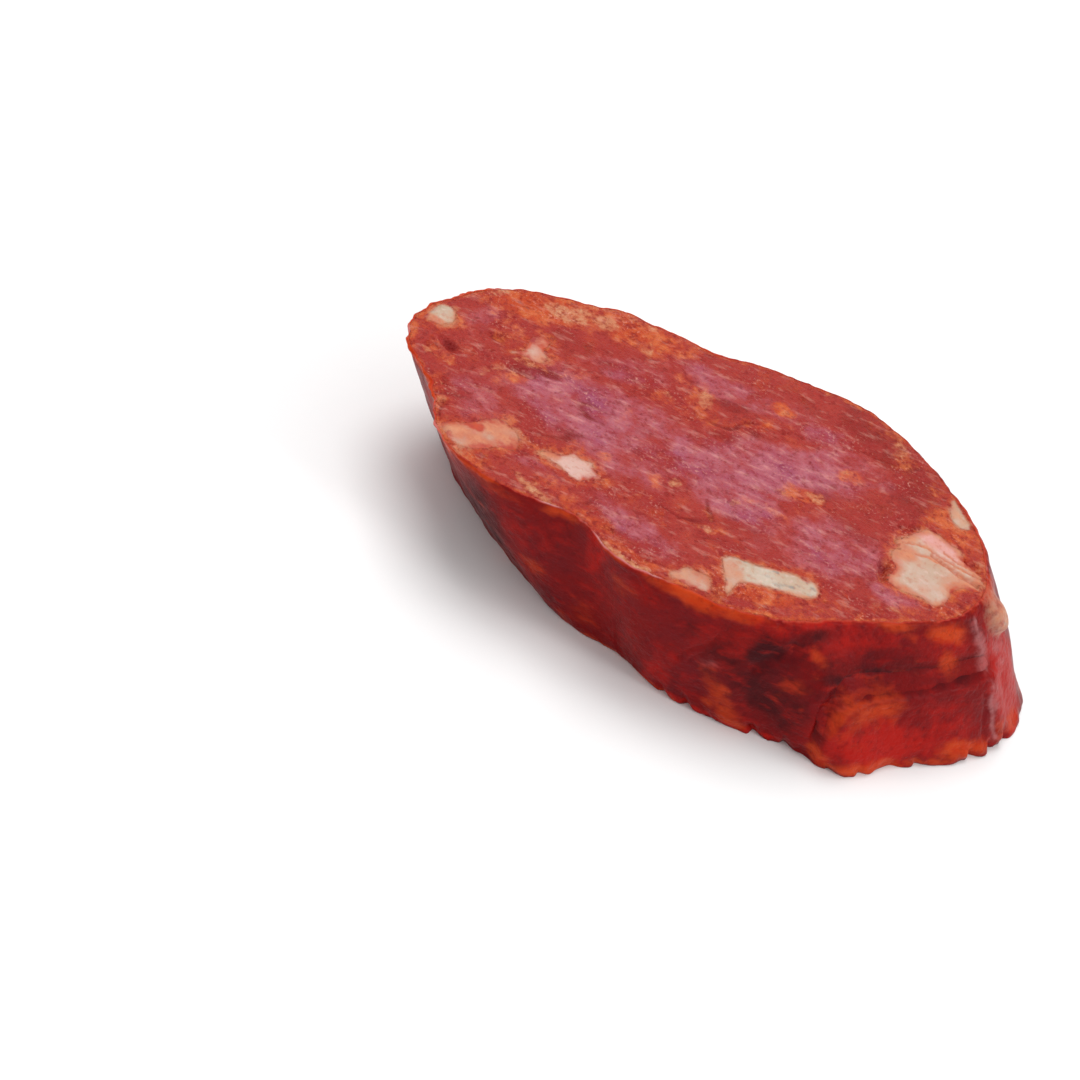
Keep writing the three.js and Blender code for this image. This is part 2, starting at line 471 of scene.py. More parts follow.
def fat_distances(points, level):
    """Each lump of one cut face with the distance of the points inside its edge, far ones left out."""
    found = {}
    for name, loop in FAT_LOOPS.items():
        if face_of(name) != level:
            continue
        near = np.all((points > loop.min(axis=0) - FAR) & (points < loop.max(axis=0) + FAR), axis=1)
        inside = np.full(len(points), FAR_VALUE)
        inside[near] = depth_inside(points[near], loop)
        found[name] = inside
    return found


def nearest_fat(points, level):
    """The distance of each point inside the edge of the nearest lump, under 0 outside it."""
    return strongest(*fat_distances(points, level).values())


def fat_share(name, flat, inside):
    """How much fat shows at each point, 1 inside a lump, 0 outside it and soft between."""
    soft = FAT_LOOKS[name][2]
    return ramp(inside + 1.3 * soft * layered_noise(flat, (1.5, 0.7, 0.5), 310), -0.8 * soft, soft)


# FAT_CREASES: gristle lines in the end block, from the middle of its box, as (path, width, depth)
FAT_CREASES = [
    ([(-0.4, 2.2), (1.2, 1.6), (2.6, 1.0), (4.0, 0.8), (5.8, 0.5)], 0.8, 0.45),
    ([(-3.6, 2.2), (-1.2, 2.9), (1.4, 2.2), (3.6, 1.9), (5.4, 1.6)], 0.5, 0.2),
    ([(-3.4, 1.0), (-0.8, 1.6), (0.8, 1.4)], 0.5, 0.14),
    ([(0.6, 3.2), (2.2, 2.7), (3.9, 2.5), (5.2, 2.1)], 0.4, 0.14),
]
# FAT_STAINS: stained places in some lumps, from the middle of the box, as (at, half, turn, strength)
FAT_STAINS = {
    "fat_end_block": [
        ((2.8, -0.8), (2.2, 2.2), 0, 0.55), ((-3.2, 0.8), (1.8, 1.6), 0, 0.8),
        ((4.6, 1.2), (1.2, 0.8), 0, 0.6),
    ],
    "fat_front_strip": [((-4.0, -1.6), (1.6, 3.0), 0, 0.6), ((3.6, -0.6), (1.6, 0.5), 0, 0.4)],
    "fat_inner_star": [((-3.2, 0.3), (1.9, 0.9), 0, 1.0), ((1.4, -1.3), (1.4, 0.5), 0, 0.5)],
    "fat_left_tip": [((-1.4, -1.0), (1.8, 0.7), 0, 0.9)],
    "fat_left_lump": [((-3.4, -1.4), (2.4, 1.4), 20, 1.1), ((0.2, 1.6), (1.8, 0.9), 30, 0.9)],
}
STAINED_EDGE = 0.5  # how far in from a lump's edge the oil has crept, as a share of its half width
CREASE_RAGGED = 0.15
FAT_TINTS = ("fat", "stain", "rosy", "speck")
CREASED = "fat_end_block"
SPECKED = "fat_front_strip"
RINGED = "fat_left_lump"


def raise_tint(tints, name, values):
    """Raises a tint to the values where they are higher."""
    tints[name] = np.maximum(tints[name], values)


def fat_tints(name, points, inside):
    """The tints of a lump of fat, by name, each from 0 to 1."""
    stained, rosy, _ = FAT_LOOKS[name]
    drift = layered_noise(points, (2.2, 0.9), 300)
    place = points - box_middle(name)
    ragged = warped(place, 0.3, 306)
    edge = STAINED_EDGE * LUMP_REACH[name]
    tints = {
        "stain": strongest(
            stained * (0.8 + 0.8 * drift),
            patches(ragged, FAT_STAINS.get(name, [])),
            0.85 * ramp(inside + 0.6 * edge * drift, edge, 0.1 * edge),
        ),
        "rosy": rosy * (0.8 + 0.5 * drift),
        "fat": fat_share(name, points, inside),
        "speck": np.zeros(len(points)),
    }
    if name == CREASED:
        lines = [(path, 1.8 * width, 1) for path, width, _ in FAT_CREASES]
        raise_tint(tints, "stain", 0.95 * strokes(warped(place, CREASE_RAGGED, 302), lines))
        raise_tint(tints, "rosy", 0.9 * patch(ragged, (0.4, 4.0), (3.4, 1.4), -16))
    if name == SPECKED:
        spots = ramp(noise(points, 0.6, 303), 0.0, 0.5) * patch(place, (1.8, 0.7), (3.2, 1.3), 8)
        tints["speck"] = 0.75 * spots
    if name == RINGED:
        ring = patch(warped(place, 0.2, 304), (-1.0, 0.5), (0.9, 0.6), 0)
        tints["fat"] = np.minimum(tints["fat"], 1 - 0.9 * ring)
    return tints


def fat_around(flat, level):
    """The tints of the fat nearest to each point of a cut, and as "fat" how much of it shows."""
    found = {tint: np.zeros(len(flat)) for tint in FAT_TINTS}
    for name, inside in fat_distances(flat, level).items():
        near = np.flatnonzero(inside > -2)
        share = fat_share(name, flat[near], inside[near])
        tints = fat_tints(name, flat[near], inside[near])
        stronger = share > found["fat"][near]
        chosen = near[stronger]
        found["fat"][chosen] = share[stronger]
        for tint in FAT_TINTS[1:]:
            found[tint][chosen] = tints[tint][stronger]
    return found


# ---------------------------------------------------------------------------------------------
# The cut faces: relief and tints. Places are counted from the middle of the cut.
# ---------------------------------------------------------------------------------------------

# MUSCLE: whole pieces of lean muscle, which stay rosy to lavender
MUSCLE = {
    "upper": [
        ((3, 1.2), (8, 4.4), 12, 1.0), ((9.5, 4.6), (6.5, 3.6), 20, 1.0),
        ((4.6, -3.2), (6, 3.4), -10, 1.0), ((-12.5, -0.4), (7.5, 4.8), 10, 0.95),
        ((-6.5, -4.2), (6.5, 3.6), -8, 0.85), ((1, 11.6), (9, 2.2), 4, 0.7),
        ((22.2, -7.6), (3.6, 1.6), -12, 0.8), ((-22, -5.2), (3.6, 4.6), 10, 0.65),
        ((15.6, -4), (5.6, 4.6), 0, 0.8), ((-25, 6.8), (2.2, 2.8), 0, 0.55),
        ((-9, 8.2), (6, 2.6), 20, 0.6), ((-3, -12.6), (6, 1.8), -14, 0.7), ((15, 8), (4.5, 2.6), 0, 0.6),
        ((0, -15.6), (3.4, 1.2), -10, 0.6), ((-14, -11.2), (3.6, 1.4), -20, 0.6),
        ((-6, 2), (5, 3), 0, 0.8), ((11, 10.5), (3.5, 1.6), 0, 0.6), ((-20, 7), (2.5, 1.5), 0, 0.4),
        ((10, -7.4), (5, 1.8), 10, 0.55),
    ],
    "lower": [
        ((-10, 6), (7, 4), 18, 0.9), ((6, 2), (6, 4), -10, 0.8), ((-4, -8), (7, 3), 6, 0.7),
        ((19, 6), (5, 3), 30, 0.7), ((20, -7), (5, 2.6), -20, 0.8), ((-22, -3), (4, 4), 0, 0.6),
        ((10, -12), (4, 1.6), 4, 0.6),
    ],
}
# OIL: paste soaked with paprika oil
OIL = {
    "upper": [
        ((-19.5, 11.6), (6.2, 2.8), 22, 1.1), ((-10, 14), (6, 2.4), 4, 0.95),
        ((-21.5, 6), (2.4, 3.6), -20, 0.6), ((6.2, 12), (1.5, 1.2), 0, 0.95),
        ((4.8, 8), (1, 0.9), 0, 0.9), ((14.6, 6.8), (1.4, 1.2), 0, 0.8),
        ((10.8, 1.3), (2.8, 1.6), 12, 0.9), ((-1.6, 8), (2.6, 2.6), 0, 0.7),
        ((-5, 6.4), (1.5, 1.4), 0, 0.6), ((-4.4, 10), (1.6, 1.2), 0, 0.6),
        ((25.6, 6), (3.2, 4.2), 20, 0.85), ((27.6, -7.4), (2.6, 2.8), 10, 0.85),
        ((19, 12.6), (1.5, 2.2), 20, 0.6), ((23.4, 10.4), (1.6, 2), 30, 0.6),
        ((10, -14.6), (4.6, 1.4), 14, 0.95), ((15, -13), (3, 1.1), 14, 0.5),
        ((-20.6, -13), (4.6, 1), -24, 0.8), ((-11.6, -12.4), (3.6, 1.3), -20, 0.7),
        ((-8, -14.4), (4, 1.1), -18, 0.85), ((-2.6, -16.8), (3.6, 0.9), -10, 0.8),
        ((-26.6, -1.6), (2.4, 1.6), -20, 0.6), ((-25.6, -5.6), (1.2, 2.6), 20, 0.7),
        ((9.6, -3.4), (1.6, 1), 0, 0.5), ((11.4, -1), (1.8, 1), 0, 0.5), ((3.4, -8.8), (2, 0.9), 0, 0.65),
        ((-4.4, -8), (1.6, 1), 0, 0.5), ((-19, 0.2), (1.2, 1.2), 0, 0.8),
        ((-28.6, 1.6), (1.4, 0.9), 0, 0.7), ((23, -5.6), (2.4, 1.2), 0, 0.5),
        ((18.8, -11.4), (3, 1), 10, 0.45), ((-14.4, 4), (2, 1.2), 30, 0.5),
        ((13.6, -8.4), (2, 0.8), 0, 0.35), ((-7.6, 5.2), (2.6, 1.6), 0, 0.45),
        ((18, 14.6), (6, 1.6), -30, 0.5),
    ],
    "lower": [
        ((-18, 9), (4, 2), 20, 0.8), ((4, 9), (3, 1.6), 0, 0.6), ((-2, -2), (2.4, 1.8), 0, 0.7),
        ((14, -3), (2, 1.6), 0, 0.7), ((26, 5), (2.4, 3), 30, 0.7), ((-16, -8), (3, 2), -20, 0.7),
        ((3, -14), (5, 1.6), 2, 0.7), ((18, 12), (4, 1.4), -20, 0.7),
    ],
}
# PALE: thin smears of fat in the paste, too thin to be lumps of their own
PALE = {
    "upper": [
        ((-17, 12.4), (2.6, 1.5), 10, 1.0), ((-13.4, 13.4), (1.4, 1.2), 0, 0.9),
        ((-8.8, 12.6), (0.9, 1.2), 0, 0.7), ((-10, 15.8), (2.4, 0.5), 2, 0.6),
        ((-1.4, 8.5), (0.9, 1.7), 20, 0.8), ((11.6, 2), (1.4, 0.8), 20, 0.8),
        ((-0.9, -4.7), (0.8, 0.7), 0, 1.0), ((3, -9), (0.9, 0.55), 0, 0.8),
        ((-24.4, 11), (0.8, 1.6), -40, 0.8), ((-18.8, 2.6), (1.8, 0.6), 10, 0.6),
        ((8.4, 0.6), (0.9, 0.5), 0, 0.6), ((6.4, 12.2), (0.6, 0.7), 0, 0.5),
        ((18.4, 13.4), (0.8, 1.4), 0, 0.6), ((-27.8, -1.8), (1, 0.5), -20, 0.6),
        ((-24.4, -7), (0.5, 0.9), 10, 0.7), ((-24.8, -5), (0.4, 0.3), 0, 0.9),
        ((28.8, 2.6), (1.2, 0.4), -20, 0.7), ((4.6, -3.8), (0.5, 0.4), 0, 0.6),
        ((-5.2, 6.8), (0.5, 0.4), 0, 0.8), ((-12.8, -13.2), (1.4, 0.5), -16, 0.5),
        ((20.6, -6.3), (0.4, 0.4), 0, 0.7), ((25, 4.6), (0.5, 0.3), 0, 0.5),
        ((13.6, 7), (0.5, 0.5), 0, 0.5),
    ],
    "lower": [
        ((-6, 11), (2, 0.8), 10, 0.8), ((10, 5), (0.9, 0.8), 0, 0.9), ((-13, -5), (1.2, 0.7), 20, 0.8),
        ((23, 1), (0.8, 1.2), 0, 0.8), ((2, -10), (1.4, 0.6), 0, 0.8), ((-24, 4), (0.9, 1.2), 0, 0.8),
    ],
}
# DEEP: dark red places where the paste is drier, and painted shade in the crevices that HOLLOWS cuts
DEEP = {
    "upper": [
        ((1, 9.6), (2.8, 0.9), 8, 0.7), ((20.6, 7.2), (3.4, 3), 0, 0.55), ((12, 14.4), (8, 2), -4, 0.4),
        ((-22.6, 4.4), (1, 0.7), 0, 0.7), ((-19, 1.2), (1.4, 0.5), -10, 0.7),
        ((-26.2, 0.4), (1.3, 0.8), -30, 0.8), ((20.2, -3.8), (0.45, 1.5), 4, 1.0),
        ((-5.6, 0.4), (1.8, 0.9), 0, 0.4), ((6, -7), (3, 1.2), 0, 0.4), ((28, 2.2), (1.2, 0.5), -20, 0.7),
        ((21.6, 3.8), (1.4, 0.5), 30, 0.6), ((-16, 8), (3, 1.6), 10, 0.45),
        ((1.2, 4.6), (1.6, 0.7), 0, 0.5), ((4.2, 6.6), (1, 0.6), 0, 0.6),
        ((-10.6, -13.6), (4, 0.5), -22, 0.3), ((8, -10), (4, 0.8), 12, 0.4),
        ((16.4, 0.4), (2.6, 3.4), 0, 0.4), ((19, 6), (4, 3), 0, 0.35), ((16, 14.2), (7, 3), -30, 0.6),
        ((22, 10), (2.4, 4), 20, 0.5),
    ],
    "lower": [
        ((0, 5), (3, 1.2), 0, 0.6), ((-19, 2), (2, 1), 0, 0.6), ((13, 1), (2, 1.4), 0, 0.6),
        ((-8, -3), (2, 0.8), 0, 0.5), ((25, -3), (1, 2), 0, 0.6),
    ],
}
# HOLLOWS: crevices and crumbly dents in a cut, as (at, half sizes, turn, depth)
HOLLOWS = {
    "upper": [
        ((20.1, -3.9), (0.4, 1.5), 4, 0.8), ((-22.4, 4.5), (0.8, 0.45), 0, 0.35),
        ((-18.8, 1.2), (1.3, 0.4), -12, 0.4), ((-26.4, 0.5), (1.2, 0.5), -35, 0.5),
        ((-27.4, -0.6), (0.8, 0.4), 10, 0.35), ((-25, -4.9), (0.3, 0.3), 0, 0.4),
        ((28.2, 2.1), (1.1, 0.35), -22, 0.4), ((21.5, 3.6), (1.2, 0.4), 30, 0.4),
        ((1.4, 4.4), (1.4, 0.5), 0, 0.25), ((-23, 1.8), (0.5, 0.4), 0, 0.3),
        ((4.4, -4), (0.35, 0.3), 0, 0.3), ((20.4, 0.9), (0.6, 0.3), 60, 0.3),
        ((7.8, 0.2), (0.8, 0.35), 0, 0.25), ((-24.2, -7.6), (0.35, 0.5), 0, 0.35),
    ],
    "lower": [
        ((-2, 4), (1.4, 0.5), 20, 0.4), ((13, 0), (0.6, 1.2), 0, 0.4), ((-15, -1), (1, 0.4), 0, 0.35),
        ((24, -2), (0.4, 0.9), 0, 0.4),
    ],
}
# CRUMBLY: where a cut is loose and grainy
CRUMBLY = {
    "upper": [
        ((-26, -1.4), (3, 2.4), -20, 1.0), ((-25, -6), (1.4, 3), 15, 0.8),
        ((-8, -14), (7, 1.4), -18, 0.8), ((-1.6, -16.8), (3.4, 0.8), -8, 0.9),
        ((-7.4, 5.4), (3.6, 2.6), 0, 0.6), ((9.6, 2), (3.4, 2), 0, 0.6), ((6, 8.6), (4, 3.6), 0, 0.5),
        ((28.2, 2.6), (1.8, 1.2), -20, 0.9), ((12, -14), (4, 1), 14, 0.7),
        ((20, -6.4), (1.2, 0.9), 0, 0.9), ((-16, 7), (4, 3), 0, 0.4), ((10, -2.4), (3, 2.4), 0, 0.5),
    ],
    "lower": [
        ((6, 10), (6, 2), 10, 0.8), ((-20, -4), (4, 3), 0, 0.8), ((16, -10), (6, 2), -10, 0.7),
    ],
}
# CUT_BUMPS: the grain of a cut, as (size across, height, what is added where it is crumbly)
CUT_BUMPS = [(7.5, 0.09, 0), (2.6, 0.07, 0), (1.1, 0.045, 0.06), (0.55, 0.03, 0.04)]
FIBRE_SIZE = 0.7
FIBRE_RISE = 0.035
FIBRE_PULL = (0.4, 1)  # draws the fibres out along the slice
CRACK_DEPTH = 0.08
LOOSE_CRACK_DEPTH = 0.16  # added where a cut is crumbly
PIT_COUNT = 70
PIT_SIZES = (0.22, 0.55)
PIT_DEPTH = 0.16
CRUMB_COUNT = 160
CRUMB_SIZES = (0.16, 0.36)
CRUMB_RISE = 0.09
SCATTERED_OVER = ((-31, -18), (31, 18))
FIRM_SHARE = 0.35  # how many of the pits and crumbs of a crumbly place a firm one has
CUT_SEEDS = {"upper": 100, "lower": 500}


def scattered(points, level, count, sizes, seed):
    """Seeded round spots all over a cut, each rising to 1, more of them where it is crumbly."""
    chance = np.random.default_rng(seed)
    total = np.zeros(len(points))
    placed = 0
    while placed < count:
        at = chance.uniform(*SCATTERED_OVER)
        radius = chance.uniform(*sizes)
        keen = chance.uniform()
        if keen > FIRM_SHARE + (1 - FIRM_SHARE) * patches(at[None], CRUMBLY[level])[0]:
            continue
        placed += 1
        near = np.all(np.abs(points - at) < 2 * radius, axis=1)
        away = np.linalg.norm((points[near] - at) * (1, chance.uniform(0.8, 1.6)), axis=1)
        total[near] = np.maximum(total[near], ramp(away, radius, 0.1 * radius))
    return total


def pits(points, level):
    """Small holes that crumbs came out of, from 0 to 1."""
    return scattered(points, level, PIT_COUNT, PIT_SIZES, CUT_SEEDS[level] + 4)


def crumbs(points, level):
    """Small crumbs that stand up, from 0 to 1."""
    return scattered(points, level, CRUMB_COUNT, CRUMB_SIZES, CUT_SEEDS[level] + 5)


def cracks(points, seed):
    """Wavy cracks between the pieces of meat, drawn out along the slice."""
    drawn = warped(points * (0.45, 1), 0.5, seed + 7)
    crack = 1 - np.abs(noise(drawn, 2.4, seed + 8))
    return ramp(crack, 0.83, 1.0) * ramp(noise(points, 4, seed + 9), -0.4, 0.5)


def cut_relief(flat, level, depth):
    """How far a cut face rises above its plane, at points in the row frame."""
    seed = CUT_SEEDS[level]
    points = flat - RIMS[level][0]
    crumbly = patches(points, CRUMBLY[level])
    height = FIBRE_RISE * noise(points * FIBRE_PULL, FIBRE_SIZE, seed + 6)
    for i, (size, rise, loose_rise) in enumerate(CUT_BUMPS):
        height += (rise + loose_rise * crumbly) * noise(points, size, seed + i)
    height -= (CRACK_DEPTH + LOOSE_CRACK_DEPTH * crumbly) * cracks(points, seed)
    height -= PIT_DEPTH * pits(points, level)
    height += CRUMB_RISE * crumbs(points, level)
    ragged = warped(points, 0.3, seed + 20)
    for at, half, turn, hollow in HOLLOWS[level]:
        height -= hollow * patch(ragged, at, half, turn)
    return height * depth


def cut_tints(flat, level):
    """The tints of a cut face, by name, each from 0 to 1."""
    seed = CUT_SEEDS[level]
    points = flat - RIMS[level][0]
    wide = warped(points, 1.1, seed + 30)
    ragged = warped(points, 0.7, seed + 40)
    fine = warped(points, 0.6, seed + 80)
    mottle = layered_noise(points, (3.4, 1.6, 0.8), seed + 50)
    rim = rim_distance(flat, level)
    muscle = patches(wide, MUSCLE[level]) * (0.8 + 0.5 * mottle)
    muscle = strongest(muscle, 0.5 * ramp(mottle, 0, 0.7)) * ramp(rim, 0.8, 3.4)
    oil = strongest(
        0.85 * patches(ragged, OIL[level]),
        0.6 * ramp(nearest_fat(flat, level) + 0.7 * mottle, -1.8, -0.2),
        0.55 * ramp(layered_noise(points, (2.6, 0.9), seed + 60), 0.15, 0.8),
        0.7 * ramp(rim + 0.5 * mottle, 1.3, 0.3),
    )
    # Deep red: drier paste, and painted shade in the crevices, pits and cracks of the relief.
    deep = strongest(
        patches(ragged, DEEP[level]),
        0.7 * pits(points, level),
        0.6 * ramp(layered_noise(points, (2.2, 1.1), seed + 70), 0.3, 0.8),
        0.8 * cracks(points, seed),
    )
    pale = strongest(
        patches(fine, PALE[level]) * (0.85 + 0.3 * noise(points, 0.8, seed + 90)),
        0.5 * crumbs(points, level),
    )
    if level == "upper":
        gristle = strokes(warped(points, 0.45, seed + 95), PALE_STROKES)
        pale = strongest(pale, gristle * (0.85 + 0.5 * mottle))
    return {"muscle": muscle, "oil": oil, "deep": deep, "pale": pale, **fat_around(flat, level)}


# PALE_STROKES: paths of pale gristle and the dry yellowish line where the front edge was cut
PALE_STROKES = [
    ([(18.4, -9.4), (20.4, -8.8), (22.6, -9.2)], 1.9, 0.5),
    ([(-22.4, -1.6), (-21.6, -0.2), (-20.4, 0.6), (-19.3, 0.4)], 2.0, 0.6),
    ([(-15.2, -12.9), (-10.8, -14.9), (-6.6, -16.3), (-3.2, -17.4), (0.6, -17.9)], 1.7, 1.0),
    ([(-27.4, -1.6), (-25.8, -1.9), (-25.2, -2.7)], 0.5, 0.6),
    ([(2.0, -15.4), (4.4, -14.7), (5.4, -15.2)], 0.35, 0.4),
    ([(26.6, 2.4), (28.4, 2.0), (29.8, 1.4)], 0.45, 0.7),
]


def rim_distance(flat, level):
    """How far each point lies inside the rim, along the line to the middle."""
    away = flat - RIMS[level][0]
    angle = np.degrees(np.arctan2(away[:, 1], away[:, 0]))
    return rim_radius(level, angle) - np.linalg.norm(away, axis=1)


# ---------------------------------------------------------------------------------------------
# The wall: relief and tints, at (degrees, share of the height)
# ---------------------------------------------------------------------------------------------

# FOLD: the crease over the toe that the wall makes at its front right
FOLD = [
    (305, 0.02), (308, 0.2), (311, 0.38), (315, 0.48), (320, 0.53), (327, 0.555), (334, 0.56),
    (341, 0.58), (346, 0.6), (351, 0.6), (354, 0.55),
]
FOLD_ENDS = (301, 311, 349, 355)  # degrees at which the toe begins, is full, is still full and ends
FOLD_RISE = 0.95  # how far the toe stands out under the crease
FOLD_RECESS = 0.6  # how far the wall draws back over it
CORNER_AT = 351.0  # where the wall turns sharply at its right end
CORNER_RISE = 0.3
CORNER_REACH = 2.2
# NUB: a lump of fat that swells the wall, as its place, half sizes and rise
NUB = ((358.5, 0.85), (1.5, 1.4), 1.1)
# RIM_SWELLS: where the upper rim juts out, as (degrees, reach in degrees, how far)
RIM_SWELLS = [(153, 8, 0.6), (176, 8, 0.4)]
# NOTCHES: nicks in the frilled lower edge, as (degrees, depth)
NOTCHES = [(262, 0.5), (270, 0.7), (291, 0.8), (300, 0.6), (309, 0.45), (316, 0.5), (331, 0.5), (343, 0.9),
           (347.5, 0.8), (352, 0.7)]
HIDDEN_NOTCHES = 12
NOTCH_WIDTH = 0.5
# WALL_BUMPS: the unevenness of the dried wall, as (size across, height)
WALL_BUMPS = [(8, 0.22), (3.4, 0.12), (1.3, 0.05), (0.55, 0.025)]
SKIN_FIBRES = 0.07  # how high the fibres of the skin stand
# WRINKLES: fine creases of the skin, as (path, width, depth)
WRINKLES = [
    ([(273, 0.44), (279, 0.58), (284, 0.68), (288, 0.76)], 0.7, 0.2),
    ([(276, 0.44), (281, 0.55), (283, 0.63)], 0.5, 0.14),
    ([(284, 0.6), (287, 0.69)], 0.5, 0.12),
    ([(337, 0.66), (342, 0.63), (347, 0.64)], 0.7, 0.25),
    ([(330, 0.7), (336, 0.69), (341, 0.72)], 0.6, 0.12),
    ([(322, 0.46), (330, 0.45), (337, 0.47)], 0.6, 0.07),
    ([(318, 0.4), (326, 0.38), (334, 0.4)], 0.7, 0.05),
    ([(220, 0.3), (226, 0.5), (230, 0.75)], 0.7, 0.12),
    ([(244, 0.1), (247, 0.3), (252, 0.5)], 0.8, 0.1),
    ([(346, 0.1), (347.5, 0.35), (348, 0.5)], 0.7, 0.2),
    ([(296, 0.6), (303, 0.74), (309, 0.84)], 1.6, 0.3),
]
# WALL_PATCHES: patches of each tint, as (at, half sizes in millimetres, turn, strength)
WALL_PATCHES = {
    # dark: the patches at 196 to 225 degrees are a painted shadow cast on the left of the wall; those at 318
    # to 341 are painted shade in the recess over the fold; the rest darken the middle of the front.
    "dark": [
        ((318, 0.7), (12, 1.9), 0, 0.6), ((331, 0.64), (6, 0.9), 0, 0.7),
        ((296, 0.58), (7, 3.4), 10, 0.7), ((206, 0.33), (4.2, 3.6), 0, 1.0),
        ((214, 0.62), (2.6, 4), -30, 0.8), ((288, 0.64), (4, 1.3), 20, 0.65),
        ((300, 0.73), (3.2, 1.3), 24, 1.0), ((312, 0.88), (4, 0.8), 12, 0.75),
        ((298, 0.4), (4.4, 2.9), 0, 0.8), ((323, 0.65), (6, 0.8), 2, 0.9),
        ((341, 0.63), (4, 0.6), 0, 0.6), ((283, 0.76), (3.4, 1.2), 10, 0.5),
        ((306, 0.55), (3.5, 2), 0, 0.6), ((196, 0.2), (3, 2), 0, 0.7), ((225, 0.2), (2.5, 2), 0, 0.4),
        ((270, 0.3), (2, 2), 0, 0.35),
    ],
    "oil": [
        ((283, 0.26), (1.5, 3.0), 8, 0.6), ((284.5, 0.07), (1.5, 0.9), 0, 0.7),
        ((283, 0.98), (4.4, 0.9), 0, 1.0), ((296, 1.0), (3.4, 0.9), 0, 0.75),
        ((314, 0.78), (0.9, 0.9), 30, 0.6), ((345, 0.9), (2.2, 1.1), 0, 0.95),
        ((344, 0.71), (1.6, 0.8), 0, 0.7), ((335, 0.98), (2.8, 0.6), 0, 0.7),
        ((317, 0.05), (3.6, 0.9), 0, 1.0), ((341, 0.1), (3, 1.1), 0, 0.95),
        ((316, 0.3), (3.4, 1.6), 12, 0.3), ((333, 0.03), (3, 0.5), 0, 0.7),
        ((307, 0.12), (1, 1.3), 0, 0.7), ((236, 0.97), (2.2, 0.6), 0, 0.7),
        ((224, 0.4), (1.6, 1.3), 20, 0.5), ((258, 0.77), (1.8, 0.9), 20, 0.45),
        ((235, 0.2), (2, 2.2), 0, 0.35), ((202, 0.9), (2.6, 1.5), -30, 0.85),
        ((218, 0.95), (5, 0.9), 0, 0.4), ((350, 0.15), (1.2, 1.6), 0, 0.5),
        ((356, 0.1), (1.6, 1), 0, 0.7),
    ],
    "bright": [
        ((222, 0.66), (6, 3), 0, 0.4), ((214, 0.2), (4, 3), 0, 0.4), ((328, 0.9), (7, 1.0), 0, 0.5),
        ((322, 0.2), (7, 3), 0, 0.95), ((338, 0.26), (5, 3), 0, 0.6), ((243, 0.6), (4, 4), 0, 0.3),
        ((302, 0.96), (5, 0.9), 0, 0.6), ((356, 0.4), (3.4, 6), 0, 1.1), ((260, 0.85), (4, 1.4), 0, 0.35),
        ((345, 0.8), (4, 2), 0, 0.6),
    ],
    # pale: the patches at 350 to 356 degrees and at 282.5 are painted sheen along the corner ridge and over
    # wrinkles; those at 199 and 206 are pale dried bits near the rim.
    "pale": [
        ((351, 0.78), (0.9, 2.4), 4, 0.45), ((350, 0.4), (0.9, 2.4), -4, 0.4),
        ((356, 0.62), (1.6, 2.4), 0, 0.35), ((206, 0.98), (2.4, 0.6), -20, 0.6),
        ((282.5, 0.54), (1.4, 0.7), 30, 0.25), ((199, 0.82), (0.8, 1.8), -20, 0.5),
    ],
    "fat": [
        ((358.5, 0.85), (1.8, 1.7), 0, 1.0),
    ],
    "stain": [
        ((358.5, 0.85), (3, 3), 0, 0.6),
    ],
}
# WALL_STROKES: streaks on the wall, as tint, path, width, strength. The dark ones are painted shade along
# the wrinkles and the fold's crease, the pale ones painted sheen along the corner ridge, and the rest run
# along the fibres.
WALL_STROKES = [
    ("oil", [(308, 0.06), (318, 0.04), (327, 0.02)], 1.4, 0.8),
    ("dark", [(292, 0.52), (297, 0.6), (304, 0.7), (312, 0.8)], 1.6, 0.7),
    ("dark", [(284, 0.66), (291, 0.74), (299, 0.8)], 1.2, 0.55),
    ("dark", [(300, 0.2), (304, 0.4), (308, 0.5)], 1.8, 0.7),
    ("dark", [(320, 0.6), (330, 0.61), (340, 0.63), (347, 0.64)], 1.1, 0.9),
    # Painted sheen along the corner ridge.
    ("pale", [(351.5, 0.95), (351, 0.8), (350.8, 0.62)], 1.3, 0.5),
    ("pale", [(350, 0.55), (349, 0.4), (348.4, 0.24), (348.6, 0.12)], 1.6, 0.5),
    ("oil", [(278.5, 0.16), (281.5, 0.26), (285.5, 0.36)], 2.6, 0.62),
    ("oil", [(196, 0.6), (201, 0.82), (212, 0.98), (222, 1.0)], 1.6, 0.8),
    ("bright", [(262, 0.05), (290, 0.03), (300, 0.05)], 1.4, 0.8),
    ("oil", [(232, 0.02), (250, 0.015), (266, 0.03)], 0.8, 0.7),
]
WALL_TINTS = ("dark", "oil", "bright", "pale", "cut", "fat", "stain", "rosy", "speck")
# WALL_MOTTLES: mottling all over, as tint, sizes across, seed, strength, and the noise it goes from and to
WALL_MOTTLES = [
    ("dark", (6, 2.4), 230, 0.5, 0.1, 0.7),
    ("bright", (5, 2), 232, 0.6, 0.1, 0.7),
    ("oil", (3.4, 1.2), 234, 0.45, 0.3, 0.8),
]
HIDDEN_SPAN = (8, 186)  # degrees of the wall whose patches are scattered by chance
HIDDEN_COUNTS = {"dark": 12, "oil": 18, "bright": 10}
HIDDEN_NICKED = (2, 195)  # degrees of the lower edge whose nicks are


def hidden_patches():
    """Seeded patches for the back of the wall, like those of its front."""
    chance = np.random.default_rng(77)
    by_tint = {}
    for tint, count in HIDDEN_COUNTS.items():
        by_tint[tint] = []
        for _ in range(count):
            at = (chance.uniform(*HIDDEN_SPAN), chance.uniform(0, 1))
            half = (chance.uniform(1.0, 3.8), chance.uniform(0.6, 1.8))
            by_tint[tint].append((at, half, chance.uniform(-40, 40), chance.uniform(0.3, 0.75)))
    return by_tint


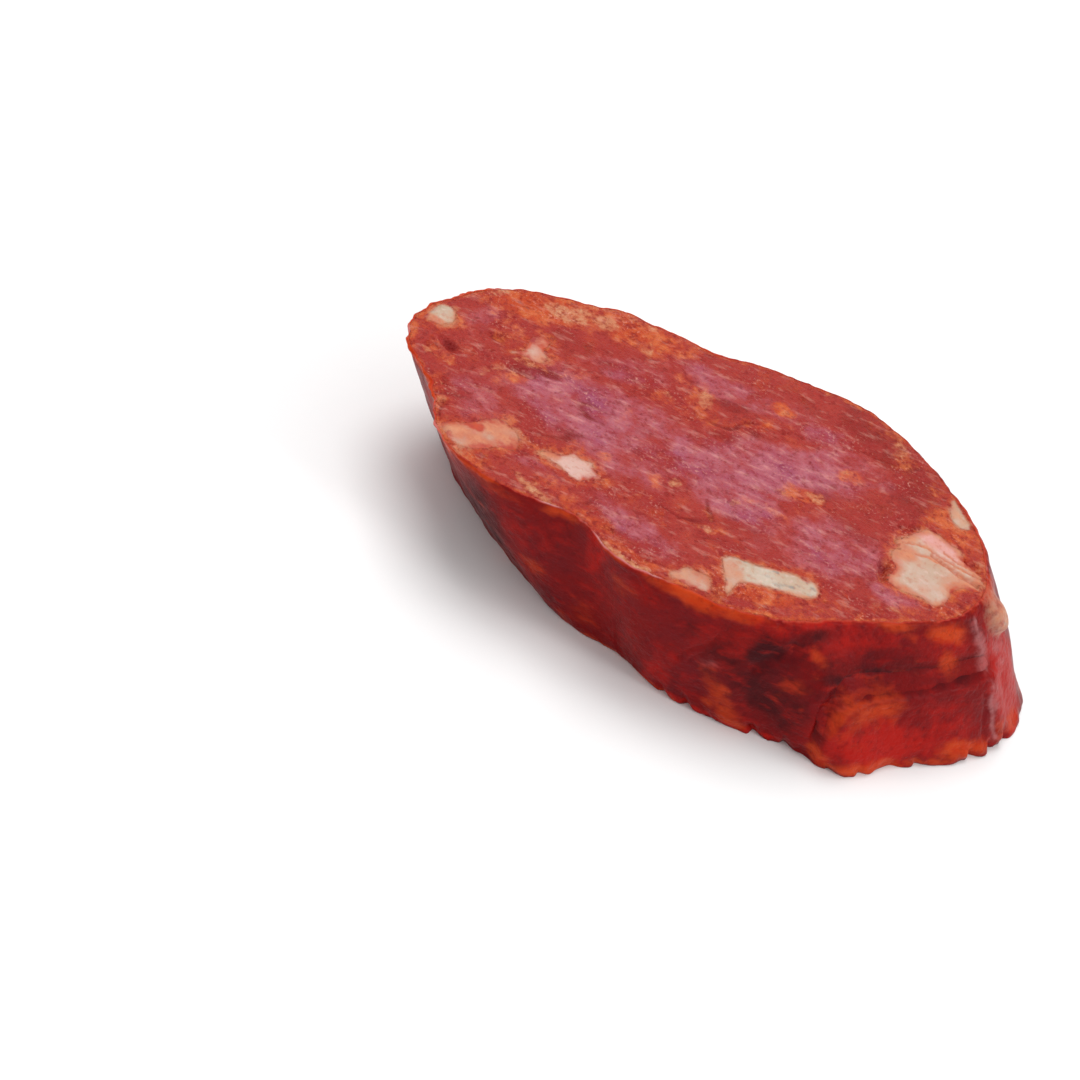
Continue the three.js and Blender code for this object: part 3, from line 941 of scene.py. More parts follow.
def hidden_notches():
    """Seeded nicks in the lower edge at the back."""
    chance = np.random.default_rng(78)
    return [(chance.uniform(*HIDDEN_NICKED), chance.uniform(0.3, 0.8)) for _ in range(HIDDEN_NOTCHES)]


HIDDEN_PATCHES = hidden_patches()
ALL_NOTCHES = NOTCHES + hidden_notches()


def fold_share(degrees, height):
    """How far under the fold's crease each place is, in shares of the height, and the toe's strength."""
    crease = np.interp(degrees, *zip(*FOLD), left=0, right=0.4)
    first, full, last, gone = FOLD_ENDS
    strength = ramp(degrees, first, full) * ramp(degrees, gone, last)
    return crease - height, strength


def fold_relief(degrees, height, unrolled):
    """The toe that stands out under the fold's crease, and the recess over it."""
    below, strength = fold_share(degrees + 0.8 * noise(unrolled, 1.6, 211), height)
    below = below + 0.012 * noise(unrolled, 1.2, 212)
    toe = ramp(below, -0.012, 0.03) * (0.4 + 0.6 * np.exp(-np.clip(below, 0, None) / 0.14))
    rise = FOLD_RISE * toe * ramp(height, -0.02, 0.1)
    return strength * (rise - FOLD_RECESS * bell(below + 0.05, 0.06))


def frill_relief(degrees, height, solid, unrolled):
    """The frayed and nicked lower edge, which is smoother at the left."""
    frayed = 1 - 0.7 * ramp(degrees, 190, 210) * ramp(degrees, 290, 270)
    out = frayed * (0.45 * noise(solid, 2.6, 213) + 0.22 * noise(solid, 1.0, 214))
    for at, nick in ALL_NOTCHES:
        out -= nick * bell(unrolled[:, 0] - on_wall([(at, 0)])[0, 0], NOTCH_WIDTH)
    return out * ramp(height, 0.16, 0.02)


def rim_relief(degrees, height, solid):
    """The crumbs along the upper rim, more of them at its back left, and where it juts out."""
    loose = ramp(height, 0.93, 0.99) * (1 + 0.8 * ramp(degrees, 110, 130) * ramp(degrees, 215, 195))
    out = loose * (0.2 * noise(solid, 1.6, 215) + 0.13 * noise(solid, 0.6, 216))
    for at, reach, swell in RIM_SWELLS:
        out += swell * bell(turn_from(degrees, at), reach) * ramp(height, 0.4, 1)
    return out


def wall_relief(degrees, height, depth):
    """How far the wall stands out from the smooth one."""
    solid = plain_wall(degrees, height, 0)
    unrolled = arc_place(degrees, height)
    pulled = np.c_[unrolled[:, 0] + 0.5 * unrolled[:, 1], 0.3 * unrolled[:, 1]]
    fibres = (1 - 2 * np.abs(noise(pulled, 0.9, 205))) * off_seam(degrees)
    out = SKIN_FIBRES * fibres * ramp(noise(solid, 5, 206), -0.3, 0.5)
    for i, (size, rise) in enumerate(WALL_BUMPS):
        out += rise * noise(solid, size, 201 + i)
    ragged = warped_wall(degrees, unrolled, 0.35, 210)
    for path, width, groove in WRINKLES:
        out -= groove * stroke(ragged, on_wall(path), width)
    out += fold_relief(degrees, height, unrolled)
    out += CORNER_RISE * bell(turn_from(degrees, CORNER_AT), CORNER_REACH) * ramp(height, 1, 0.85)
    at, half, rise = NUB
    out += rise * wall_patch(ragged, at, half)
    out += frill_relief(degrees, height, solid, unrolled)
    out += rim_relief(degrees, height, solid)
    return out * depth


def tint_edges(tints, degrees, height, solid):
    """Tints the rim with oil, its back left with crumbs of fat, and the foot at the back with fibres."""
    rim = ramp(height, 0.955, 1.0)
    raise_tint(tints, "oil", rim * (0.25 + 0.5 * noise(solid, 2, 236)))
    tints["dark"] *= 1 - 0.8 * rim
    loose = ramp(height, 0.9, 0.98) * ramp(degrees, 70, 110) * ramp(degrees, 225, 205)
    raise_tint(tints, "oil", loose)
    raise_tint(tints, "pale", 0.6 * loose * ramp(layered_noise(solid, (2.0, 0.8), 237), 0.1, 0.7))
    over_fat = ramp(nearest_fat(solid[:, :2], "upper"), -1.8, -0.3) * ramp(height, 0.88, 0.98)
    raise_tint(tints, "oil", 0.7 * over_fat)
    foot = ramp(height, 0.035, 0.005) * ramp(noise(solid, 3, 238), -0.5, 0.3)
    raise_tint(tints, "pale", 0.6 * foot * ramp(degrees, 245, 225) * ramp(degrees, 60, 120))


def tint_fold(tints, degrees, height, unrolled):
    """Paints shade into the fold's crease as the dark tint, and streaks the toe under it with oil and fat.
    """
    below, strength = fold_share(degrees, height)
    # Painted shade along the crease, and none on the toe under it.
    raise_tint(tints, "dark", 0.8 * strength * bell(below + 0.05, 0.1))
    tints["dark"] *= 1 - 0.85 * strength * ramp(below, 0, 0.05)
    streak = noise(np.c_[0.2 * unrolled[:, 0], THICKNESS * below], 0.55, 239)
    toe = ramp(degrees, 307, 315) * ramp(degrees, 337, 327)
    oily = toe * ramp(below, -0.01, 0.03) * ramp(below, 0.24, 0.03)
    raise_tint(tints, "oil", oily * (0.68 + 0.55 * streak))
    raise_tint(tints, "pale", 0.8 * oily * ramp(streak, 0.0, 0.8) * ramp(below, 0.14, 0.05))


def wall_tints(degrees, height):
    """The tints of the casing, by name, each from 0 to 1."""
    solid = plain_wall(degrees, height, 0)
    unrolled = arc_place(degrees, height)
    ragged = warped_wall(degrees, unrolled, 0.5, 220)
    straight = warped_wall(degrees, unrolled, 0.22, 221)
    tints = {name: np.zeros(len(solid)) for name in WALL_TINTS}
    for by_tint in (WALL_PATCHES, HIDDEN_PATCHES):
        for tint, rows in by_tint.items():
            for at, half, turn, strength in rows:
                raise_tint(tints, tint, strength * wall_patch(ragged, at, half, turn, 0.8))
    for tint, path, width, strength in WALL_STROKES:
        raise_tint(tints, tint, strength * stroke(straight, on_wall(path), width))
    flow = solid * (1, 1, 0.45)
    for tint, sizes, seed, strength, low, high in WALL_MOTTLES:
        raise_tint(tints, tint, strength * ramp(layered_noise(flow, sizes, seed), low, high))
    tint_edges(tints, degrees, height, solid)
    tint_fold(tints, degrees, height, unrolled)
    return tints


# ---------------------------------------------------------------------------------------------
# Materials
# ---------------------------------------------------------------------------------------------

def add_node(tree, kind, inputs=None, **settings):
    """Adds a node with its settings. An input's value is a number or colour, or a socket to link from."""
    node = tree.nodes.new(kind)
    for name, value in settings.items():
        setattr(node, name, value)
    for name, value in (inputs or {}).items():
        if isinstance(value, bpy.types.NodeSocket):
            tree.links.new(value, node.inputs[name])
        else:
            node.inputs[name].default_value = value
    return node


def new_material(name):
    """A material with only its output, and its node tree."""
    material = bpy.data.materials.new(name)
    material.use_nodes = True
    material.node_tree.nodes.clear()
    return material, material.node_tree


def in_place(tree, size_mm, pull=(1, 1, 1)):
    """Noise from 0 to 1 in the piece's own space, with grains about size_mm across.

    Along an axis with a pull under 1 the grains are drawn out into streaks.
    """
    place = add_node(tree, "ShaderNodeTexCoord").outputs["Object"]
    pulled = add_node(tree, "ShaderNodeVectorMath", {0: place, 1: pull}, operation="MULTIPLY")
    inputs = {"Vector": pulled.outputs[0], "Scale": 0.5 / (size_mm * MM), "Detail": 3.0, "Roughness": 0.6}
    return stretch(tree, add_node(tree, "ShaderNodeTexNoise", inputs).outputs["Fac"], 0.3, 0.7)


def attribute(tree, name):
    """A tint of the mesh, by name."""
    return add_node(tree, "ShaderNodeAttribute", attribute_name=name).outputs["Fac"]


def stretch(tree, value, low, high, top=1.0, bottom=0.0):
    """The value from low to high as bottom to top."""
    inputs = {"Value": value, "From Min": low, "From Max": high, "To Min": bottom, "To Max": top}
    return add_node(tree, "ShaderNodeMapRange", inputs).outputs["Result"]


def broken_up(tree, mask, grain, width=0.5):
    """A mask that turns patchy where it is faint, following a grain, and stays soft."""
    inputs = {0: grain, 1: width, 2: -width / 2}
    shift = add_node(tree, "ShaderNodeMath", inputs, operation="MULTIPLY_ADD").outputs[0]
    total = add_node(tree, "ShaderNodeMath", {0: mask, 1: shift}, operation="ADD").outputs[0]
    inputs = {"Value": total, "From Min": 0.4 * width, "From Max": 1.0}
    return add_node(tree, "ShaderNodeMapRange", inputs, interpolation_type="SMOOTHSTEP").outputs["Result"]


def mix(tree, share, first, second, blend="MIX"):
    """Two colours mixed by a share, which is a number or a socket."""
    node = add_node(tree, "ShaderNodeMix", data_type="RGBA", blend_type=blend)
    for socket, value in ((node.inputs[0], share), (node.inputs[6], first), (node.inputs[7], second)):
        if isinstance(value, bpy.types.NodeSocket):
            tree.links.new(value, socket)
        else:
            socket.default_value = value
    return node.outputs[2]


def finish_material(tree, colour, height, bump_mm, roughness, settings):
    """The surface shader with its bump, and the output."""
    bump = add_node(tree, "ShaderNodeBump", {"Height": height, "Distance": bump_mm * MM, "Strength": 1.0})
    inputs = {"Base Color": colour, "Roughness": roughness, "Normal": bump.outputs["Normal"], **settings}
    shader = add_node(tree, "ShaderNodeBsdfPrincipled", inputs)
    add_node(tree, "ShaderNodeOutputMaterial", {"Surface": shader.outputs["BSDF"]})


def fat_colour(tree, colours):
    """The colour of fat, from the tints stain, rosy and speck."""
    wide, middling, fine = (in_place(tree, size) for size in (1.8, 0.7, 0.3))
    colour = mix(tree, wide, colours.fat, colours.fat_shade)
    colour = mix(tree, stretch(tree, fine, 0.35, 0.0, 0.6), colour, colours.clean_fat)
    colour = mix(tree, stretch(tree, middling, 0.3, 1.0, 0.5), colour, colours.fat_shade)
    colour = mix(tree, attribute(tree, "rosy"), colour, colours.rosy_fat)
    stain = mix(tree, stretch(tree, middling, 0.1, 1.0, 0.75, 0.1), colours.stained_fat, colours.smear)
    colour = mix(tree, broken_up(tree, attribute(tree, "stain"), middling, 0.35), colour, stain)
    colour = mix(tree, broken_up(tree, attribute(tree, "speck"), fine), colour, colours.fat_speck)
    return mix(tree, stretch(tree, fine, 0.6, 1.0, 0.4), colour, colours.stained_fat)


def cured_meat_material(colours):
    """Chopped lean pork, bound, cured and cut with a knife: rosy muscle in a brick-red paste.

    The cut is damp and finely grained, so light spreads a little under it. The small glints on its grains
    are painted highlights: pale specks in clusters, put into its colour.
    """
    material, tree = new_material("chopped cured pork, knife cut")
    wide, middling, fine, finest = (in_place(tree, size) for size in (2.2, 0.8, 0.3, 0.15))
    fibres = in_place(tree, 0.4, (0.35, 1, 1))
    paste = mix(tree, wide, colours.paste, colours.dry_paste)
    paste = mix(tree, stretch(tree, middling, 0.5, 0.95, 0.5), paste, colours.oil)
    muscle = mix(tree, fibres, colours.muscle, colours.light_muscle)
    muscle = mix(tree, stretch(tree, wide, 0.55, 1.0, 0.8), muscle, colours.purple_muscle)
    colour = mix(tree, broken_up(tree, attribute(tree, "muscle"), middling), paste, muscle)
    # Deep red: drier paste, and painted shade in the hollows of the cut.
    colour = mix(tree, broken_up(tree, attribute(tree, "deep"), middling), colour, colours.deep)
    oil = mix(tree, stretch(tree, middling, 0.4, 1.0), colours.oil, colours.bright_oil)
    patchy = mix(tree, 0.4, middling, fine)
    colour = mix(tree, broken_up(tree, attribute(tree, "oil"), patchy, 0.7), colour, oil)
    smear = mix(tree, fine, colours.stained_fat, colours.smear)
    colour = mix(tree, broken_up(tree, attribute(tree, "pale"), patchy, 0.7), colour, smear)
    colour = mix(tree, broken_up(tree, attribute(tree, "fat"), fine), colour, fat_colour(tree, colours))
    # Fat cells and fibre ends in the paste, about 0.2 mm across.
    colour = mix(tree, stretch(tree, fine, 0.4, 0.05, 0.55), colour, colours.deep)
    colour = mix(tree, stretch(tree, fibres, 0.65, 1.0, 0.3), colour, colours.speck)
    # Painted highlights: tiny pale glints in clusters, painted into the colour with the speck colour.
    clusters = stretch(tree, wide, 0.45, 0.9, 0.55)
    sparks = stretch(tree, finest, 0.68, 0.95)
    glints = add_node(tree, "ShaderNodeMath", {0: clusters, 1: sparks}, operation="MULTIPLY")
    colour = mix(tree, glints.outputs[0], colour, colours.speck)
    grain = mix(tree, 0.45, fine, finest)
    finish_material(tree, colour, grain, 0.2, stretch(tree, middling, 0.3, 1.0, 0.3, 0.5), {
        "IOR": 1.42, "Specular IOR Level": 0.24, "Subsurface Weight": 0.2,
        "Subsurface Radius": (1.0, 0.3, 0.2), "Subsurface Scale": 0.001,
    })
    return material


def casing_material(colours):
    """Natural gut casing, dried on the meat and stained with paprika.

    Thin and half clear, so the dark meat and the orange fat behind it colour it, and the dried
    skin has a soft gloss over fine wrinkles. Painted shade darkens it in the fold's crease, along wrinkles
    and on its left, and a painted sheen lightens its corner ridge.
    """
    material, tree = new_material("dried gut casing")
    wide, middling, fine = (in_place(tree, size) for size in (2.6, 0.9, 0.3))
    streaks = in_place(tree, 0.5, (0.4, 0.4, 1.0))
    colour = mix(tree, wide, colours.casing, colours.casing_plum)
    colour = mix(tree, broken_up(tree, attribute(tree, "bright"), middling), colour, colours.casing_bright)
    paste = mix(tree, fine, colours.dry_paste, colours.paste)
    colour = mix(tree, broken_up(tree, attribute(tree, "cut"), fine, 0.7), colour, paste)
    # Dark: darker skin, and painted shade in the fold's crease, along wrinkles and on the left of the wall.
    colour = mix(tree, broken_up(tree, attribute(tree, "dark"), middling, 0.4), colour, colours.casing_dark_and_shade)
    oil = mix(tree, streaks, colours.casing_oil, colours.oil)
    colour = mix(tree, broken_up(tree, attribute(tree, "oil"), streaks, 0.35), colour, oil)
    # Pale: painted sheen along the corner ridge and over wrinkles, and the pale of crumbs, fibres and fat
    # smears at the rim, the foot and the toe.
    colour = mix(tree, broken_up(tree, attribute(tree, "pale"), streaks, 0.35), colour, colours.casing_pale_and_sheen)
    colour = mix(tree, broken_up(tree, attribute(tree, "fat"), fine, 0.3), colour, fat_colour(tree, colours))
    colour = mix(tree, stretch(tree, streaks, 0.55, 1.0, 0.4), colour, colours.casing_bright)
    colour = mix(tree, stretch(tree, fine, 0.4, 0.05, 0.25), colour, colours.casing_dark_and_shade)
    grain = mix(tree, 0.5, streaks, fine)
    finish_material(tree, colour, grain, 0.1, stretch(tree, middling, 0, 1, 0.5, 0.28), {
        "IOR": 1.45, "Specular IOR Level": 0.1, "Subsurface Weight": 0.1,
        "Subsurface Radius": (1.0, 0.25, 0.15), "Subsurface Scale": 0.001,
    })
    return material


def fat_material(colours):
    """Firm back fat, cut clean and stained by the paprika oil round it.

    Waxy and smooth, so light spreads far under it, with oil that has crept in from the edge.
    """
    material, tree = new_material("back fat, stained with paprika oil")
    middling, fine = (in_place(tree, size) for size in (0.7, 0.3))
    around = mix(tree, middling, colours.oil, colours.dry_paste)
    colour = mix(tree, broken_up(tree, attribute(tree, "fat"), fine), around, fat_colour(tree, colours))
    grain = mix(tree, 0.4, middling, fine)
    finish_material(tree, colour, grain, 0.06, stretch(tree, middling, 0, 1, 0.52, 0.34), {
        "IOR": 1.46, "Specular IOR Level": 0.4, "Subsurface Weight": 0.35,
        "Subsurface Radius": (1.0, 0.5, 0.35), "Subsurface Scale": 0.0015,
    })
    return material


def sweep_material(colours):
    """Matt white paper sweep, which lights the slice's wall from below and shows nothing itself."""
    material, tree = new_material("matt white paper sweep")
    fibre = in_place(tree, 1.5)
    colour = mix(tree, stretch(tree, fibre, 0.3, 0.7, 0.03), colours.floor, colours.floor_shade)
    finish_material(tree, colour, fibre, 0.01, 0.9, {"Specular IOR Level": 0.1})
    return material


# ---------------------------------------------------------------------------------------------
# Meshes
# ---------------------------------------------------------------------------------------------

def make_piece(name, points, faces, tints, material):
    """A smooth mesh piece from points in millimetres in the row frame, with its tints on its points."""
    mesh = bpy.data.meshes.new(name)
    mesh.from_pydata((points * MM).tolist(), [], faces)
    for tint, values in tints.items():
        layer = mesh.attributes.new(tint, "FLOAT", "POINT")
        layer.data.foreach_set("value", np.clip(values, 0, 1).astype(np.float32))
    mesh.shade_smooth()
    mesh.materials.append(material)
    piece = bpy.data.objects.new(name, mesh)
    bpy.context.scene.collection.objects.link(piece)
    return piece


def stand_for(piece, node):
    """Puts a piece in the place of a CAD node."""
    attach(piece, "root")
    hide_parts(node)


def disc_grid(columns, rows):
    """A square grid laid out on a disc: share of the radius, degrees, quads and the edge in order."""
    across, up = np.meshgrid(np.linspace(-1, 1, columns + 1), np.linspace(-1, 1, rows + 1))
    across, up = across.ravel(), up.ravel()
    share = np.maximum(np.abs(across), np.abs(up))
    sideways = np.abs(across) >= np.abs(up)
    flat = np.where(sideways, up / np.where(across == 0, 1, across), 0)
    steep = np.where(sideways, 0, across / np.where(up == 0, 1, up))
    degrees = np.where(sideways, 45 * flat + 180 * (across < 0), 90 - 45 * steep + 180 * (up < 0))
    index = np.arange(len(share)).reshape(rows + 1, columns + 1)
    quads = np.stack([index[:-1, :-1], index[:-1, 1:], index[1:, 1:], index[1:, :-1]], -1).reshape(-1, 4)
    edge = np.r_[index[0, :-1], index[:-1, -1], index[-1, :0:-1], index[:0:-1, 0]]
    return share, degrees, quads, edge


def ring_bands(rings):
    """Quads between each ring of point numbers and the next, facing out."""
    quads = []
    for low, high in zip(rings[:-1], rings[1:]):
        quads.append(np.stack([low, np.roll(low, -1), np.roll(high, -1), high], -1))
    return np.vstack(quads)


FACE_COLUMNS = 236
FACE_ROWS = 148
SIDE_RINGS = 4
MEAT_INSET = 0.3  # how far the meat's own edge lies inside the casing's outer surface
SIDE_INSET = 1.5  # the same for its side, which the casing hides
SIDE_TINT = 0.3  # how strong each tint is on that side
EDGE_ROUND = 1.4  # how far in from the wall a cut begins to round off
EDGE_DROP = 0.12  # how far it has dropped at the wall
POCKET_GAP = 0.06  # between the bottom of a pocket and the fat in it
MEAT_CLEARANCE = 0.06  # between the lower cut of the meat and what the slice lies on
FAT_CLEARANCE = 0.07  # the same for the fat


def edge_drop(depth):
    """How far a cut rounds off at a depth in from the wall."""
    return EDGE_DROP * (1 - np.clip(depth / EDGE_ROUND, 0, 1)) ** 2


def cut_surface(level, degrees, share, sizes):
    """Points of a cut face, with its relief, its rounded edge and the pockets of its fat."""
    height, up = CUTS[level]
    degrees = degrees % 360
    everywhere = np.full(len(degrees), height)
    edge_radius = rim_radius(level, degrees) - MEAT_INSET
    edge_radius += wall_relief(degrees, everywhere, sizes.wall_relief)
    angle = np.radians(degrees)
    flat = RIMS[level][0] + (share * edge_radius)[:, None] * np.c_[np.cos(angle), np.sin(angle)]
    rise = cut_relief(flat, level, sizes.cut_relief)
    rise -= edge_drop((1 - share) * edge_radius + MEAT_INSET)
    if level == "lower":
        rise = np.minimum(rise - MEAT_CLEARANCE, 0)
    for name, inside in fat_distances(flat, level).items():
        pit = inside > FAT_TUCK
        rise[pit] -= lump_depth(name, inside[pit] - FAT_TUCK, flat[pit]) + POCKET_GAP
    return np.c_[flat, THICKNESS * height + up * rise], flat


def make_meat(sizes, colours):
    """The cured meat: both cut faces, with a pocket under each lump of fat, and the side between."""
    share, degrees, quads, edge = disc_grid(FACE_COLUMNS, FACE_ROWS)
    upper, upper_flat = cut_surface("upper", degrees, share, sizes)
    lower, lower_flat = cut_surface("lower", degrees, share, sizes)
    count = len(share)
    side, rings = [], [edge]
    for i, height in enumerate(np.linspace(0, 1, SIDE_RINGS + 2)[1:-1]):
        side.append(plain_wall(degrees[edge], np.full(len(edge), height), SIDE_INSET))
        rings.append(2 * count + i * len(edge) + np.arange(len(edge)))
    rings.append(count + edge)
    points = np.vstack([lower, upper, *side])
    faces = np.vstack([quads[:, ::-1], quads + count, ring_bands(rings)])
    upper_tints, lower_tints = cut_tints(upper_flat, "upper"), cut_tints(lower_flat, "lower")
    beside = np.full(len(edge) * SIDE_RINGS, SIDE_TINT)
    tints = {name: np.r_[lower_tints[name], upper_tints[name], beside] for name in upper_tints}
    piece = make_piece("meat", points, faces.tolist(), tints, cured_meat_material(colours))
    stand_for(piece, "cured_meat")


CASING_COLUMNS = 880
CASING_ROWS = 62
LIP_FROM = 0.9  # a share of the height that the lip lies above
LIP_HEIGHT = 0.42  # how far under the rim the casing begins to turn in over the cut
LIP_DEPTH = 0.36
LIP_STEPS = 6
LIP_PROUD = 0.015  # how far it lies over the meat there
FOOT_HEIGHT = 0.3


def casing_profile(thickness):
    """The casing's section as (share of the height, depth), up its outside and down its inside.

    The lip rounds over the edge of the cut and ends just under it, and the foot is rounded too.
    """
    lip, foot = LIP_HEIGHT / THICKNESS, FOOT_HEIGHT / THICKNESS
    outer = [(height, 0.0) for height in np.linspace(foot, 1 - lip, CASING_ROWS)]
    turns = np.radians(np.linspace(0, 90, LIP_STEPS + 1)[1:])
    over = [(1 - lip + lip * math.sin(t), LIP_DEPTH * (1 - math.cos(t))) for t in turns]
    inner = [(1 - 0.6 * lip, LIP_DEPTH + 0.04)]
    inner += [(height, thickness) for height in np.linspace(1 - 1.6 * lip, 1.5 * foot, 5)]
    under = [(0.3 * foot, thickness), (0.0, 0.75 * thickness), (0.0, 0.4 * thickness), (0.35 * foot, 0.08)]
    return np.array(outer + over + inner + under)


def make_casing(sizes, colours):
    """The casing: a thin sleeve whose upper edge turns in over the edge of the cut."""
    profile = casing_profile(sizes.casing_thickness / MM)
    columns = np.arange(CASING_COLUMNS) * 360 / CASING_COLUMNS
    degrees = np.tile(columns, len(profile))
    height = np.repeat(profile[:, 0], CASING_COLUMNS)
    depth = np.repeat(profile[:, 1], CASING_COLUMNS)
    points = plain_wall(degrees, height, depth - wall_relief(degrees, height, sizes.wall_relief))
    lip = np.repeat(np.arange(len(profile)), CASING_COLUMNS) >= CASING_ROWS
    lip &= height > LIP_FROM
    rise = cut_relief(points[:, :2], "upper", sizes.cut_relief)
    follow = ramp(depth, 0, LIP_DEPTH) * lip
    points[:, 2] += follow * (rise - edge_drop(depth) + LIP_PROUD)
    points[:, 2] = np.maximum(points[:, 2], 0)
    rings = [i * CASING_COLUMNS + np.arange(CASING_COLUMNS) for i in range(len(profile))]
    faces = ring_bands([*rings, rings[0]])
    tints = wall_tints(degrees, height)
    face = cut_tints(points[:, :2], "upper")
    share = ramp(depth, 0.1 * LIP_DEPTH, 0.9 * LIP_DEPTH) * lip
    tints["oil"] = np.maximum(tints["oil"] * (1 - 0.4 * share), share * 0.7 * face["oil"])
    raise_tint(tints, "pale", share * (0.15 + 0.75 * face["pale"]))
    tints["cut"] = share
    tints["dark"] *= 1 - share
    for tint in FAT_TINTS:
        raise_tint(tints, tint, share * face[tint])
    piece = make_piece("skin", points, faces.tolist(), tints, casing_material(colours))
    stand_for(piece, "casing")


def lump_sheet(name):
    """A lump's cut face seen from above: points, triangles facing up and the border's numbers."""
    loop = FAT_LOOPS[name]
    axes = [np.arange(low, high, FAT_STEP) for low, high in zip(loop.min(axis=0), loop.max(axis=0))]
    grid = np.stack(np.meshgrid(*axes), -1).reshape(-1, 2)
    chance = np.random.default_rng(len(loop))
    grid = grid + chance.uniform(-0.3, 0.3, grid.shape) * FAT_STEP
    grid = grid[depth_inside(grid, loop) > 0.6 * FAT_STEP]
    flat = np.vstack([loop, grid])
    border = range(len(loop))
    links = [(i, (i + 1) % len(loop)) for i in border]
    found = delaunay_2d_cdt([Vector(p) for p in flat.tolist()], links, [list(border)], 1, 1e-7)
    if len(found[0]) != len(flat):
        raise ValueError(f"{name}: its edge crosses itself")
    flat = np.array([tuple(p) for p in found[0]])
    faces = np.array([f if facing_up(flat[f]) else f[::-1] for f in found[2]])
    place = {old: new for new, olds in enumerate(found[3]) for old in olds}
    return flat, faces, np.array([place[i] for i in border])


def lump_rise(name, flat, inside, sizes):
    """How far a lump stands above the plane of its cut."""
    level = face_of(name)
    rise = cut_relief(flat, level, sizes.cut_relief) * (1 - 0.5 * ramp(inside, 0.1, 0.9))
    rise -= edge_drop(rim_distance(flat, level)) + 0.03
    rise += 0.03 * ramp(inside, 0, 0.3) + sizes.fat_rise / MM * ramp(inside, 0.1, 1.0)
    rise += 0.05 * noise(flat, 0.9, 320) * ramp(inside, 0.2, 0.8)
    if name == CREASED:
        place = warped(flat - box_middle(name), CREASE_RAGGED, 302)
        for path, width, depth in FAT_CREASES:
            rise -= depth * stroke(place, path, width)
    if level == "lower":
        rise = np.minimum(rise - FAT_CLEARANCE, 0)
    return rise


def make_lump(name, sizes, material):
    """One lump of fat: a ragged cut face, barely proud of the meat, on a rounded body in its pocket."""
    height, up = CUTS[face_of(name)]
    flat, faces, border = lump_sheet(name)
    count = len(flat)
    inside = np.maximum(depth_inside(flat, FAT_LOOPS[name]), 0)
    rise = lump_rise(name, flat, inside, sizes)
    bottom = np.minimum(rise, 0) - FAT_DEEPER - FAT_FILL * lump_depth(name, inside, flat)
    points = np.vstack([np.c_[flat, THICKNESS * height + up * away] for away in (rise, bottom)])
    cap = faces[:, ::up]
    rings = [border + count, border][::up]
    all_faces = cap.tolist() + (cap[:, ::-1] + count).tolist() + ring_bands(rings).tolist()
    tints = {tint: np.r_[values, values] for tint, values in fat_tints(name, flat, inside).items()}
    piece = make_piece(name.replace("fat_", "lump_"), points, all_faces, tints, material)
    stand_for(piece, name)


def facing_up(corners):
    """Whether a triangle's corners run anticlockwise, seen from above."""
    first, second = corners[1] - corners[0], corners[2] - corners[0]
    return first[0] * second[1] - first[1] * second[0] > 0


# ---------------------------------------------------------------------------------------------
# Stage: floor, lights and camera
# ---------------------------------------------------------------------------------------------

OVERHEAD = ("overhead box", (-120, 160, 520), 0.34)  # a soft box's name, place and size
SIDE = ("side box", (380, -120, 260), 0.1)
LENS, SENSOR_WIDTH = 100, 36
CLIP_START, CLIP_END = 0.01, 20


def make_floor(stage, colours):
    """A square sheet that the slice lies on."""
    half = stage.floor_size / 2 / MM
    corners = np.array([(-half, -half, 0), (half, -half, 0), (half, half, 0), (-half, half, 0)])
    floor = make_piece("floor", corners, [[0, 1, 2, 3]], {}, sweep_material(colours))


def make_light(name, at_mm, size, power):
    """A square soft box at a point, turned to the slice."""
    light = bpy.data.lights.new(name, "AREA")
    light.size, light.energy = size, power
    lamp = bpy.data.objects.new(name, light)
    lamp.location = Vector(at_mm) * MM
    lamp.rotation_mode = "QUATERNION"
    lamp.rotation_quaternion = (-Vector(at_mm) * MM).to_track_quat("-Z", "Y")
    bpy.context.scene.collection.objects.link(lamp)


def make_lights(stage):
    """A white room that lights the slice from all round, and two soft boxes."""
    world = bpy.data.worlds.new("white room")
    world.use_nodes = True
    background = world.node_tree.nodes["Background"]
    background.inputs["Color"].default_value = (1, 1, 1, 1)
    background.inputs["Strength"].default_value = stage.room_strength
    bpy.context.scene.world = world
    make_light(*OVERHEAD, stage.overhead_power)
    make_light(*SIDE, stage.side_power)


def make_camera(stage):
    """The camera in front of the slice, looking down on it and turned about its own axis."""
    camera = bpy.data.cameras.new("camera")
    camera.lens, camera.sensor_width = LENS, SENSOR_WIDTH
    camera.clip_start, camera.clip_end = CLIP_START, CLIP_END
    elevation, roll = stage.view_elevation, stage.view_roll
    back = Vector((0, -math.cos(elevation), math.sin(elevation)))
    right = Vector((1, 0, 0))
    up = back.cross(right)
    rolled_right = right * math.cos(roll) + up * math.sin(roll)
    rolled_up = up * math.cos(roll) - right * math.sin(roll)
    middle = RIMS["upper"][0]
    aim = Vector((middle[0], middle[1], THICKNESS)) * MM + Vector(stage.view_aim)
    turn = Matrix((rolled_right, rolled_up, back)).transposed().to_4x4()
    holder = bpy.data.objects.new("camera", camera)
    holder.matrix_world = Matrix.Translation(aim + back * stage.view_distance) @ turn
    bpy.context.scene.collection.objects.link(holder)
    bpy.context.scene.camera = holder


# ---------------------------------------------------------------------------------------------
# Add-on: settings, operators and panel
# ---------------------------------------------------------------------------------------------

def colour_setting(name, hex_colour, description):
    """A colour of the panel."""
    return FloatVectorProperty(name=name, description=description, default=linear(hex_colour),
                               size=4, min=0, max=1, subtype="COLOR")


def length_setting(name, millimetres, description):
    """A length of the panel."""
    return FloatProperty(name=name, description=description, default=millimetres * MM, min=0,
                         subtype="DISTANCE", unit="LENGTH", precision=5)


